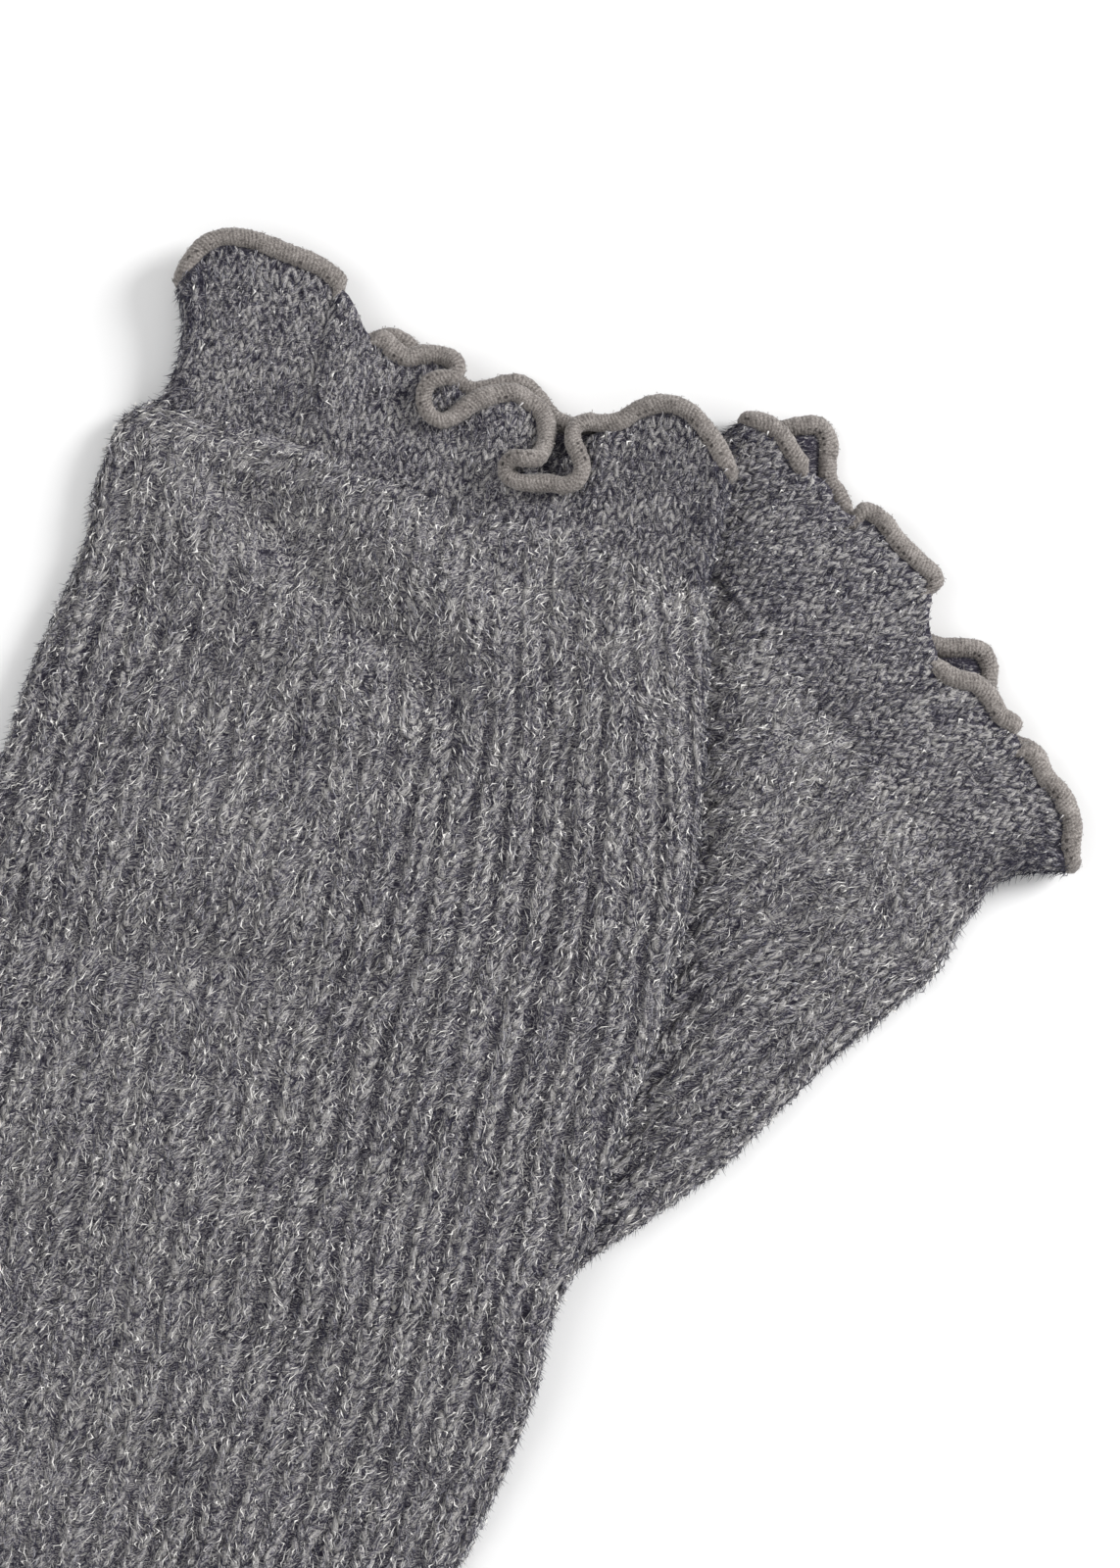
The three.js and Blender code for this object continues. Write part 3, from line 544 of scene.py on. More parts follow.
def ribbed_tube(leg, name):
    first = leg["seam"] - TUCK
    rows = int((LENGTH - first) / DOWN_STEP)
    down = np.linspace(first, LENGTH, rows)[:, None]
    turn = np.arange(AROUND)[None, :] / AROUND + ribs_turned(leg, down)
    outer = tube_points(leg, turn, down, rib=RIB_HEIGHT)
    inner = tube_points(leg, turn, down, HOLLOW / 2, WALL)
    whole = turn - np.floor(turn)
    lowest = carried(leg, inner[..., 0], inner[..., 1]) + WALL + HOLLOW / 2
    inner[..., 2] = np.where(whole < 0.5, np.maximum(inner[..., 2], lowest), inner[..., 2])
    cloth = closed_wall(name, outer, inner)
    # Painted shade: the front's cloth is darkened where it shows between the stitches, most where
    # the grooves are deep.
    painted_groove_shade = ease((0.27 - np.abs(whole - 0.25)) / 0.02) * grooved(leg, turn, down)
    set_number(cloth, "painted_shade", np.stack([painted_groove_shade, painted_groove_shade]))
    return cloth


upper_cloth = ribbed_tube(UPPER, "upper_ribbed_cloth")
lower_cloth = ribbed_tube(LOWER, "lower_ribbed_cloth")
for cloth, node in ((upper_cloth, "upper_leg"), (lower_cloth, "lower_leg")):
    low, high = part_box(node)
    places = np.array([v.co for v in cloth.data.vertices])
    beyond = np.round([(places.min(0) - low) * 1000, (places.max(0) - high) * 1000], 2)
    print(cloth.name, len(cloth.data.polygons), "faces; box less the solid's, mm:", *beyond)

# %% [markdown]
# ## The rim's turns
#
# The rim is longer than the cloth it ends, so it waves. Each row of these tables is one turn of
# the front half, with how high the rolled edge lies there. In two places the roll curls back on
# top of the band, so `of` says whether a row is a turn of the roll or of the cloth below it. The
# back half lies on the page and needs only a row for each wave.

# %% Turns of the rims
RIM_COLUMNS = ["across", "down", "lift", "rise", "of"]
WAVE_COLUMNS = ["at", "reach", "spread"]

UPPER_RIM = table(RIM_COLUMNS, [
    (-55.9, 2.2, 4.5, 0.3, "both"), (-55.9, 1.2, 6.2, 0.5, "both"), (-55.6, -1.1, 7.0, 0.6, "both"),
    (-54.6, -4.6, 7.1, 0.8, "both"), (-52.0, -7.5, 7.1, 0.9, "both"),
    (-47.3, -9.1, 7.2, 1.0, "both"), (-38.5, -9.1, 7.4, 1.2, "both"),
    (-30.2, -8.4, 7.2, 1.2, "both"), (-25.6, -6.4, 6.9, 1.2, "both"),
    (-21.6, -3.0, 6.7, 1.2, "both"), (-18.2, 0.5, 6.6, 1.4, "both"), (-15.2, 0.7, 6.6, 1.4, "both"),
    (-12.4, 2.0, 6.6, 1.4, "both"), (-9.8, 2.5, 6.6, 1.2, "both"), (-6.8, 0.9, 6.6, 1.0, "both"),
    (-3.8, 0.0, 6.8, 0.6, "both"), (-0.4, 0.8, 6.6, 0.2, "cloth"), (1.8, 3.2, 6.0, 0.2, "cloth"),
    (4.4, 4.4, 5.9, 0.2, "cloth"), (7.0, 4.2, 6.6, 0.4, "cloth"), (-1.1, 0.0, 7.8, 0, "roll"),
    (0.5, 1.4, 9.0, 0, "roll"), (0.1, 3.3, 10.1, 0, "roll"), (-1.9, 4.2, 10.6, 0, "roll"),
    (-3.8, 5.9, 10.5, 0, "roll"), (-3.9, 8.9, 10.1, 0, "roll"), (-2.0, 11.5, 9.8, 0, "roll"),
    (0.9, 12.0, 9.4, 0, "roll"), (3.2, 10.0, 9.0, 0, "roll"), (4.9, 7.2, 8.4, 0, "roll"),
    (7.1, 5.0, 7.8, 0, "roll"), (9.8, 3.3, 7.4, 1.0, "both"), (12.6, 2.2, 7.4, 1.2, "both"),
    (15.5, 2.8, 7.4, 1.2, "both"), (18.7, 4.2, 7.2, 1.0, "both"), (20.6, 7.0, 6.4, 0.4, "cloth"),
    (22.2, 9.6, 5.8, 0.2, "cloth"), (24.4, 10.2, 5.6, 0.2, "cloth"), (26.4, 8.0, 5.9, 0.2, "cloth"),
    (28.2, 4.8, 6.5, 0.2, "cloth"), (21.0, 7.6, 8.2, 0, "roll"), (21.4, 10.8, 9.8, 0, "roll"),
    (20.7, 13.2, 11.4, 0, "roll"), (18.6, 14.1, 12.4, 0, "roll"), (16.6, 14.7, 12.1, 0, "roll"),
    (15.8, 16.3, 11.0, 0, "roll"), (16.5, 17.9, 9.9, 0, "roll"), (18.5, 18.6, 9.3, 0, "roll"),
    (21.4, 18.0, 8.9, 0, "roll"), (24.6, 16.9, 8.7, 0, "roll"), (27.6, 16.4, 8.8, 0, "roll"),
    (29.7, 14.5, 9.0, 0, "roll"), (29.7, 11.9, 9.2, 0, "roll"), (28.1, 9.6, 9.4, 0, "roll"),
    (26.3, 7.6, 9.5, 0, "roll"), (25.8, 5.2, 9.2, 0, "roll"), (27.6, 3.2, 8.3, 0, "roll"),
    (30.8, 2.4, 7.5, 0.8, "both"), (33.8, 1.0, 7.4, 1.0, "both"), (36.2, -1.8, 7.3, 1.0, "both"),
    (39.0, -4.0, 7.2, 1.0, "both"), (42.4, -5.1, 7.2, 1.0, "both"), (46.0, -4.6, 7.2, 1.0, "both"),
    (49.2, -2.9, 7.2, 0.8, "both"), (52.2, -0.8, 7.2, 0.6, "both"), (54.6, 1.4, 7.2, 0.6, "both"),
    (56.3, 3.3, 6.4, 0.4, "both"), (56.8, 3.9, 4.7, 0.2, "both"),
])

LOWER_RIM = table(RIM_COLUMNS, [
    (-40.9, -8.9, 4.6, 0.0, "both"), (-40.2, -9.6, 6.3, 0.2, "both"),
    (-38.4, -10.9, 7.0, 0.6, "both"), (-35.0, -11.7, 7.0, 1.0, "both"),
    (-30.6, -10.9, 6.9, 1.2, "both"), (-26.6, -10.4, 6.8, 1.2, "both"),
    (-23.4, -11.4, 6.7, 1.2, "both"), (-20.4, -11.6, 6.6, 1.3, "both"),
    (-17.4, -10.2, 6.6, 1.4, "both"), (-14.6, -10.5, 6.6, 1.2, "both"),
    (-12.3, -13.2, 6.8, 1.2, "both"), (-8.6, -14.2, 7.0, 1.2, "both"),
    (-4.0, -13.6, 7.2, 1.2, "both"), (2.0, -13.8, 7.0, 1.2, "both"), (6.2, -13.9, 6.8, 1.2, "both"),
    (9.0, -11.2, 6.6, 1.2, "both"), (11.0, -8.2, 6.6, 1.3, "both"), (13.6, -6.0, 6.6, 1.4, "both"),
    (17.4, -4.2, 6.7, 1.2, "both"), (20.6, -2.3, 7.3, 1.2, "both"), (23.6, -3.2, 7.6, 1.2, "both"),
    (26.4, -5.0, 7.7, 1.2, "both"), (30.0, -5.4, 7.5, 1.2, "both"), (34.6, -4.4, 7.0, 1.0, "both"),
    (38.4, -5.0, 6.8, 1.0, "both"), (41.2, -3.6, 6.7, 1.1, "both"), (45.2, -3.8, 6.6, 1.2, "both"),
    (49.4, -2.4, 6.7, 1.2, "both"), (53.2, -2.3, 6.9, 1.1, "both"), (56.4, -1.4, 7.1, 0.9, "both"),
    (59.8, 0.4, 7.1, 0.8, "both"), (62.3, 3.3, 7.1, 0.6, "both"), (64.3, 5.0, 6.4, 0.4, "both"),
    (65.1, 5.6, 4.7, 0.2, "both"),
])

UPPER_BACK_WAVES = table(WAVE_COLUMNS, [
    (45.5, 10.4, 7.5), (31.0, 3.0, 5.5), (13.0, 5.8, 6.5), (-3.0, 2.6, 5.0), (-13.2, 6.4, 6.0),
    (-28.0, 3.2, 6.0), (-43.0, 9.2, 8.0),
])
LOWER_BACK_WAVES = table(WAVE_COLUMNS, [
    (57.0, 3.0, 5.5), (44.6, 8.6, 6.5), (34.0, 2.0, 5.0), (24.4, 8.2, 7.0), (23.0, 5.6, 13.0),
    (9.0, 4.0, 5.5), (-3.0, 9.0, 6.5), (-16.0, 6.0, 5.5), (-29.8, 10.2, 7.3), (-26.0, 6.6, 13.0),
])
UPPER.update(rim=UPPER_RIM, backWaves=UPPER_BACK_WAVES)
LOWER.update(rim=LOWER_RIM, backWaves=LOWER_BACK_WAVES)
print("turns of the rims:", len(UPPER_RIM["of"]), "and", len(LOWER_RIM["of"]))

# %% The rim in fine steps
BACK_STEP = 3  # between the turns of the back half
FOLD_INSET = 5  # the back half ends this far inside the folds
TURN_INSET = 0.8
TURN_LIFT = 3  # height of the rim where it turns under at a fold
RIM_SAMPLES = 600
EVEN_STEPS = 14  # the roots are evened out over this many samples on either side


def rim_rows(leg, of):
    rim = leg["rim"]
    kept = [i for i, kind in enumerate(rim["of"]) if kind in ("both", of)]
    front = np.stack([rim[name][kept] for name in RIM_COLUMNS[:4]], 1)
    left = left_width(leg, rim["down"][0]) - FOLD_INSET
    right = right_width(leg, rim["down"][-1]) - FOLD_INSET
    count = round(float(left + right) / BACK_STEP)
    across = np.linspace(right, -left, count + 1)
    down = leg["backLow"] + leg["seamTilt"] * across
    for at, reach, spread in zip(*(leg["backWaves"][name] for name in WAVE_COLUMNS)):
        down = down - reach * np.exp(-(((across - at) / spread) ** 2))
    flat = np.zeros_like(across)
    back = np.stack([across, down, flat + leg["backLift"], flat], 1)

    def under(row, inward):
        return [row[0] + inward, row[1], TURN_LIFT, 0]

    return front, np.vstack([under(front[-1], -TURN_INSET), back, under(front[0], TURN_INSET)])


def fine_rim(leg, of):
    front, back = rim_rows(leg, of)
    rows = np.vstack([front, back])
    closed = np.vstack([rows[-3:], rows, rows[:3]])
    knots = np.concatenate([[0], np.cumsum(np.linalg.norm(np.diff(closed[:, :3], axis=0), axis=1))])
    start, end = knots[3], knots[3 + len(rows)]
    at = start + (end - start) * np.arange(RIM_SAMPLES) / RIM_SAMPLES
    rim = {name: through_points(knots, closed[:, i], at) for i, name in enumerate(RIM_COLUMNS[:4])}
    turn_front = (knots[3 + len(front) - 1] - start) / (end - start)
    middle = int(math.floor(turn_front * RIM_SAMPLES + 0.5))
    roots = np.zeros(RIM_SAMPLES + 1)
    for half, (first, last) in enumerate([(0, middle), (middle, RIM_SAMPLES)]):
        places = rim["across"][np.arange(first, last + 1) % RIM_SAMPLES]
        shares = (places - places[0]) / (places[-1] - places[0])
        by_place = np.maximum.accumulate(np.maximum(shares, 0))
        by_length = np.arange(last - first + 1) / (last - first)
        roots[first:last + 1] = half / 2 + (0.5 * np.minimum(by_place, 1) + 0.5 * by_length) / 2
    roots[RIM_SAMPLES] = 1
    steps = np.arange(RIM_SAMPLES)[:, None] + np.arange(-EVEN_STEPS, EVEN_STEPS + 1)
    rim["root"] = (roots[steps % RIM_SAMPLES] + np.floor(steps / RIM_SAMPLES)).mean(1)
    return rim


for leg in (UPPER, LOWER):
    rim = fine_rim(leg, "roll")
    print("rim reaches", round(float(-rim["down"].min()), 1), "mm past the lettuce end's mark")

# %% [markdown]
# In a few troughs of the ruffle the roll slips under the cloth, so only a fuzzy fold shows there.
# The solids keep one plain roll. Here the cloth reaches over it: `tucked` is 1 where it is hidden.

# %% Where the roll tucks under
TUCK_COLUMNS = ["at", "half"]
UPPER["tucks"] = table(TUCK_COLUMNS, [(-21.8, 4.2)])
LOWER["tucks"] = table(TUCK_COLUMNS, [(-19.6, 6.2), (13.6, 5.2), (40.6, 1.4)])
TUCK_IN = 2.6  # how far the hidden roll slips in under the cloth
TUCK_DROP = 0.5
TUCK_OVER = 1.1


def tucked(leg, rim):
    hidden = np.zeros(len(rim["root"]))
    for at, half in zip(leg["tucks"]["at"], leg["tucks"]["half"]):
        near = ease((half - np.abs(rim["across"] - at)) / 2.4 + 0.5)
        hidden = np.maximum(hidden, near * (np.abs(rim["root"] % 1 - 0.25) < 0.24))
    return hidden


print("share of the rim that is tucked under:",
      [round(float(tucked(leg, fine_rim(leg, "roll")).mean()), 3) for leg in (UPPER, LOWER)])


# %% Samples of the rim
FOLD_TURN = 0.014  # share of the way round over which the rim turns from front to back
TURN_COST = 3  # a turn of one radian gets as many samples as this many mm


def unit(vectors):
    return vectors / np.maximum(np.linalg.norm(vectors, axis=-1, keepdims=True), 1e-9)


def facing(leg, root):
    heading = math.radians(leg["heading"])
    whole = root - np.floor(root)
    from_right = whole - 0.5
    from_left = np.where(whole < 0.5, whole, whole - 1)
    near_right = np.abs(from_right) < 0.25
    up = np.clip(np.where(near_right, -from_right, from_left) / FOLD_TURN, -1, 1)
    aside = np.where(near_right, 1, -1) * np.sqrt(1 - up * up)
    return np.stack([math.sin(heading) * aside, -math.cos(heading) * aside, up], -1)


def sample_rim(leg, of, count, turn_cost=TURN_COST):
    """Samples of the rim, closer together where it turns."""
    rim = fine_rim(leg, of)
    rim["hidden"] = tucked(leg, rim)
    x, y = to_plan(leg, rim["across"], rim["down"])
    centres = np.stack([x, y, rim["lift"] + carried(leg, x, y)], 1)
    runs = unit(np.roll(centres, -2, 0) - np.roll(centres, 2, 0))
    steps = np.linalg.norm(np.roll(centres, -1, 0) - centres, axis=1)
    turns = np.arccos(np.clip((runs * np.roll(runs, -1, 0)).sum(1), -1, 1))
    reached = np.concatenate([[0], np.cumsum(steps + turn_cost * turns)])
    wanted = reached[-1] * np.arange(count) / count
    place = np.interp(wanted, reached, np.arange(RIM_SAMPLES + 1))
    low = np.floor(place).astype(int)
    part = (place - low)[:, None]

    def between(values):
        return values[low % RIM_SAMPLES] * (1 - part) + values[(low + 1) % RIM_SAMPLES] * part

    roots = np.append(rim["root"], rim["root"][0] + 1)
    root = roots[low] * (1 - part[:, 0]) + roots[low + 1] * part[:, 0]
    along = unit(between(runs))
    hidden = between(rim["hidden"][:, None])
    centre, side = between(centres), unit(np.cross(along, facing(leg, root)))
    if of == "roll":
        centre = centre + hidden * (TUCK_IN * side - TUCK_DROP * np.array([0, 0, 1.0]))
    lift, rise = (between(rim[name][:, None])[:, 0] for name in ("lift", "rise"))
    return {"centre": centre, "along": along, "root": root, "side": side, "hidden": hidden,
            "lift": lift, "rise": rise}


for leg in (UPPER, LOWER):
    highest = sample_rim(leg, "roll", 200)["centre"][:, 2].max()
    print("the roll's middle reaches", round(float(highest), 1), "mm above the page")


# %% [markdown]
# ## The plain band
#
# The band is the same yarn in plain knit, a little thinner than the rib. It starts flat at the
# rib's end and each strip of it rises or dips to its own place on the waving rim. A lattice could
# bend a flat ring into this, but the rim's place is known exactly. So a simple curve of three
# points, from the seam through a middle point to the rim, shapes each strip.

# %% The middle of each band
BAND_COLUMNS = 300
BAND_ROWS = 10
WAIST_REACH = 0.06  # share of the ring on either side of a fold that is drawn in
BAND_PAINTED_SHADE = 1.5  # painted shade on the cloth between the stitches
ROLL_PAINTED_SHADOW = 1.2  # how much more shade is painted beside the roll, as its shadow
RIM_REACH = 1.5  # from the roll's middle to the cloth's end, so that no gap shows beside the roll


def band_seam(leg, root):
    down = np.full_like(root, leg["seam"] + TUCK)
    left, right = left_width(leg, down) - BAND_WALL / 2, right_width(leg, down) - BAND_WALL / 2
    across, height, _, out_up = flat_ring(left, right, (PRESSED - BAND_WALL) / 2, root)
    slid = slanted(leg, across, down)
    x, y = to_plan(leg, across, slid)
    lifted = swell(leg, across, slid) * ease(out_up * 2)
    return np.stack([x, y, PRESSED / 2 + height + lifted + carried(leg, x, y)], -1)


def beside_fold(root, fold):
    """1 at a fold of the band, fading to 0 on either side of it."""
    away = (root - fold) - np.round(root - fold)
    return np.exp(-((away / WAIST_REACH) ** 2))


def band_middle(leg, columns, rows):
    """The middle of the band's cloth, as a grid from the seam to the rim."""
    rim = sample_rim(leg, "cloth", columns)
    seam = band_seam(leg, rim["root"])
    reach = RIM_REACH * (1 - rim["hidden"]) + 0.3 * rim["hidden"]
    end = rim["centre"] + rim["side"] * reach + rim["hidden"] * np.array([0, 0, TUCK_OVER])
    heading = math.radians(leg["heading"])
    middle = (seam + end) / 2 + rim["hidden"] * np.array([0, 0, TUCK_OVER])
    drawn_in = (leg["waist"][0] * beside_fold(rim["root"], 0)
                - leg["waist"][1] * beside_fold(rim["root"], 0.5))
    middle[:, 0] += math.sin(heading) * drawn_in
    middle[:, 1] -= math.cos(heading) * drawn_in
    middle[:, 2] += rim["rise"]
    v = np.linspace(0, 1, rows + 1)[:, None, None]
    return seam * (1 - v) ** 2 + middle * 2 * v * (1 - v) + end * v * v


print("a band's grid:", band_middle(UPPER, BAND_COLUMNS, BAND_ROWS).shape)


# %% The bands' walls
def grid_normals(grid):
    around = np.roll(grid, -1, 1) - np.roll(grid, 1, 1)
    upward = np.gradient(grid, axis=0)
    return unit(np.cross(around, upward))


def painted_roll_shadow():
    """Painted shadow of the roll: 1 beside it, 0 further down, for each row of a band."""
    return ease((np.linspace(0, 1, BAND_ROWS + 1)[:, None] - 0.72) / 0.28)


def plain_band(leg, name):
    grid = band_middle(leg, BAND_COLUMNS, BAND_ROWS)
    normals = grid_normals(grid)
    half = np.linspace(BAND_WALL, RIM_WALL, BAND_ROWS + 1)[:, None, None] / 2
    sheets = []
    for side in (1, -1):
        points = grid + side * half * normals
        points[..., 2] = np.maximum(points[..., 2], carried(leg, points[..., 0], points[..., 1]))
        sheets.append(points)
    band = closed_wall(name, *sheets)
    # Painted shade between the stitches, and a painted shadow beside the roll.
    painted_darkening = BAND_PAINTED_SHADE + ROLL_PAINTED_SHADOW * painted_roll_shadow() * np.ones(BAND_COLUMNS)
    set_number(band, "painted_shade", np.stack([painted_darkening, painted_darkening]))
    return band, sheets[0]


upper_band, upper_band_front = plain_band(UPPER, "upper_plain_band")
lower_band, lower_band_front = plain_band(LOWER, "lower_plain_band")
print("bands:", len(upper_band.data.polygons), "and", len(lower_band.data.polygons), "faces")

# %% [markdown]
# ## The rolled lettuce edge
#
# Overlock thread is wrapped so closely round the stretched rim that it becomes a cord. A curve
# with a bevel would make a smooth one. Here rings of points are set along the rim instead, so the
# wraps are real ridges, a little slanted and uneven. A row of small sunk stitches runs along the
# inner side, where the needle goes through the cloth, and the material paints shade into it. It
# also paints shade between the wraps and light on their crests.

# %% Sizes of the rolls
WRAP = 0.75  # one wrap of thread along the roll
WRAP_HEIGHT = 0.028
WRAP_LEAN = 0.35
THREAD_ROUGH = 0.055  # how rough the wraps are from place to place
PLUMP = 0.55  # how much the roll's thickness wanders along it
ROLL_FLUFF = 2.0  # the thread's fluff stands a little past the solid roll
ROLL_SLIM = 0.16  # share of its thickness that the roll loses where it is stretched over itself
ROLL_SIDES = 12
print("a roll is about", 2 * ROLL_FLUFF, "mm thick")


# %% Rings that don't twist
def untwisted(sides, along):
    """Carries a sideways direction along a closed path without twisting it."""
    carried_sides = [unit(sides[0] - along[0] * np.dot(sides[0], along[0]))]
    for run in along[1:]:
        last = carried_sides[-1]
        carried_sides.append(unit(last - run * np.dot(last, run)))
    last = unit(carried_sides[-1] - along[0] * np.dot(carried_sides[-1], along[0]))
    first = carried_sides[0]
    twist = math.atan2(np.dot(np.cross(last, first), along[0]), np.dot(last, first))
    turned = np.array(carried_sides)
    angles = twist * np.arange(len(along)) / len(along)
    other = np.cross(along, turned)
    return turned * np.cos(angles)[:, None] + other * np.sin(angles)[:, None]


def set_uv(obj, uv_of_vertex):
    layer = obj.data.uv_layers.new(name="cloth_map")
    loops = np.empty(len(obj.data.loops), int)
    obj.data.loops.foreach_get("vertex_index", loops)
    layer.data.foreach_set("uv", np.asarray(uv_of_vertex, float)[loops].ravel())


rim = sample_rim(UPPER, "roll", 200, 0)
print("sides carried along the upper rim:", untwisted(rim["side"], rim["along"]).shape)


# %% The rolls
def thread_roll(leg, name, seed):
    rough = sample_rim(leg, "roll", 400, 0)
    length = np.linalg.norm(np.roll(rough["centre"], -1, 0) - rough["centre"], axis=1).sum()
    wraps = round(length / WRAP)
    steps = wraps * 2
    rim = sample_rim(leg, "roll", steps, 0)
    sides = untwisted(rim["side"], rim["along"])
    ups = np.cross(sides, rim["along"])
    rng = np.random.default_rng(seed)
    swings = np.tile(rng.normal(0, 1, steps), 3)
    plump = np.convolve(swings, np.ones(31) / 31, "same")[steps:2 * steps]
    angle = 2 * math.pi * np.arange(ROLL_SIDES) / ROLL_SIDES
    uneven = rng.uniform(0.3, 1.5, steps)[:, None]
    ridge = WRAP_HEIGHT * uneven * (np.arange(steps) % 2 * 2 - 1)[:, None] * np.ones(ROLL_SIDES)
    ridge = ridge + rng.normal(0, THREAD_ROUGH, ridge.shape)
    over_itself = ease((rim["lift"] - 7.6) / 1.6)[:, None]
    radius = ROLL_FLUFF * (1 - ROLL_SLIM * over_itself) + PLUMP * plump[:, None] + ridge
    radius = radius[..., None]
    cosine, sine = np.cos(angle)[None, :, None], np.sin(angle)[None, :, None]
    lean = WRAP_LEAN * cosine * rim["along"][:, None, :]
    points = (rim["centre"][:, None, :]
              + radius * (cosine * sides[:, None, :] + sine * ups[:, None, :]) + lean)
    rows, columns = points.shape[:2]
    faces = grid_faces(rows, columns)
    faces = np.vstack([faces, edge_faces((rows - 1) * columns, 0, columns)])
    obj = make_object(name, points.reshape(-1, 3), faces)
    ring = np.roll(points, -1, 1) - np.roll(points, 1, 1)
    set_direction(obj, "along", unit(ring))
    set_number(obj, "pile", np.ones(rows * columns))
    inner = (rim["side"] * sides).sum(1), (rim["side"] * ups).sum(1)
    root_angle = np.arctan2(inner[1], inner[0])
    from_root = (angle[None, :] - root_angle[:, None] + math.pi) % (2 * math.pi) - math.pi
    u = np.repeat(np.arange(rows)[:, None] * length / rows / 1000, columns, 1)
    set_uv(obj, np.stack([u.ravel(), from_root.ravel() * ROLL_RADIUS / 1000], 1))
    face_outwards(obj)
    return obj, length


upper_roll, upper_length = thread_roll(UPPER, "upper_thread_roll", 11)
lower_roll, lower_length = thread_roll(LOWER, "lower_thread_roll", 12)
print("rims are", round(upper_length), "and", round(lower_length), "mm round")

# %% [markdown]
# ## Building node trees
#
# Stitches and fibres repeat thousands of times, so Geometry Nodes place them. A few small helpers
# keep each tree readable. `wire` adds a node and fills its sockets, either with a number or with
# another node's output. `grown` runs a tree on a piece and keeps the result as a plain mesh.

# %% Helpers for node trees
def wire(tree, kind, sockets=(), **settings):
    """Adds a node, sets it up, and fills its sockets by name or identifier."""
    made = tree.nodes.new(kind)
    for name, value in settings.items():
        setattr(made, name, value)
    for name, value in dict(sockets).items():
        socket = next(s for s in made.inputs if name in (s.identifier, s.name) and s.enabled)
        if isinstance(value, bpy.types.NodeSocket):
            tree.links.new(value, socket)
        else:
            socket.default_value = value
    return made


def out(made, name=None):
    return next(s for s in made.outputs if s.enabled and name in (None, s.name, s.identifier))


def maths(tree, way, *numbers):
    sockets = dict(zip(("Value", "Value_001"), numbers))
    return out(wire(tree, "ShaderNodeMath", sockets, operation=way))


def vector_maths(tree, way, a, b):
    second = "Scale" if way == "SCALE" else "Vector_001"
    return out(wire(tree, "ShaderNodeVectorMath", {"Vector": a, second: b}, operation=way))


def ranged(tree, value, low, high, to_low=0.0, to_high=1.0, **settings):
    """A number carried from one range to another."""
    sockets = {"Value": value, "From Min": low, "From Max": high,
               "To Min": to_low, "To Max": to_high}
    return out(wire(tree, "ShaderNodeMapRange", sockets, **settings))


def split(tree, vector):
    """The X, Y and Z of a vector."""
    apart = wire(tree, "ShaderNodeSeparateXYZ", {"Vector": vector})
    return [out(apart, axis) for axis in "XYZ"]


print("helpers:", [helper.__name__ for helper in (wire, out, maths, vector_maths, ranged, split)])


# %% Helpers for Geometry Nodes
def chance(tree, low, high, seed):
    sockets = {"Min_001": low, "Max_001": high, "Seed": seed}
    return out(wire(tree, "FunctionNodeRandomValue", sockets, data_type="FLOAT"))


def attribute(tree, name, kind="FLOAT"):
    read = wire(tree, "GeometryNodeInputNamedAttribute", {"Name": name}, data_type=kind)
    return out(read, "Attribute")


def new_tree(name, **sizes):
    """A Geometry Nodes tree with a geometry input and named sizes."""
    tree = bpy.data.node_groups.new(name, "GeometryNodeTree")
    tree.interface.new_socket("Geometry", in_out="INPUT", socket_type="NodeSocketGeometry")
    for size_name, value in sizes.items():
        kind = "NodeSocketInt" if isinstance(value, int) else "NodeSocketFloat"
        socket = tree.interface.new_socket(size_name, in_out="INPUT", socket_type=kind)
        socket.default_value = value
    tree.interface.new_socket("Geometry", in_out="OUTPUT", socket_type="NodeSocketGeometry")
    return tree, tree.nodes.new("NodeGroupInput").outputs


LOWEST = 0.0001  # metres; nothing that a tree makes goes below this height


def finish_tree(tree, geometry, material):
    """Makes the copies real, keeps them above the page, and gives them a material."""
    whole = wire(tree, "GeometryNodeRealizeInstances", {"Geometry": geometry})
    x, y, z = split(tree, out(wire(tree, "GeometryNodeInputPosition")))
    z = maths(tree, "MAXIMUM", z, LOWEST)
    place = wire(tree, "ShaderNodeCombineXYZ", {"X": x, "Y": y, "Z": z})
    raised = wire(tree, "GeometryNodeSetPosition", {"Geometry": out(whole), "Position": out(place)})
    soft = wire(tree, "GeometryNodeSetShadeSmooth", {"Geometry": out(raised)})
    coloured = wire(tree, "GeometryNodeSetMaterial", {"Geometry": out(soft), "Material": material})
    tree.links.new(out(coloured), tree.nodes.new("NodeGroupOutput").inputs[0])


def grown(name, source, tree, **sizes):
    """Runs a tree on a piece with the sizes given, and keeps the result as a mesh of its own."""
    grower = source.modifiers.new(tree.name, "NODES")
    grower.node_group = tree
    for item in tree.interface.items_tree:
        if item.in_out == "INPUT" and item.name in sizes:
            grower[item.identifier] = sizes[item.name]
    evaluated = source.evaluated_get(bpy.context.evaluated_depsgraph_get())
    mesh = bpy.data.meshes.new_from_object(evaluated, preserve_all_data_layers=True,
                                           depsgraph=bpy.context.evaluated_depsgraph_get())
    source.modifiers.remove(grower)
    mesh.name = name
    obj = bpy.data.objects.new(name, mesh)
    scene.collection.objects.link(obj)
    mesh.calc_loop_triangles()
    print(name, len(mesh.loop_triangles), "triangles")
    return obj


def take_away(obj):
    mesh = obj.data
    bpy.data.objects.remove(obj)
    bpy.data.meshes.remove(mesh)


print("helpers:", [helper.__name__ for helper in (new_tree, finish_tree, grown, take_away)])


# %% [markdown]
# ## The yarn's colour
#
# Melange yarn is spun from dark and light fibres, so up close it is a mix of streaks that follow
# the stitches, never one grey. The streaks are stretched noise, turned a little to either side of
# the leg, and a slower noise makes whole stitches lighter or darker. Object coordinates keep the
# streaks on the cloth, and a Mapping node turns them to each leg's direction.

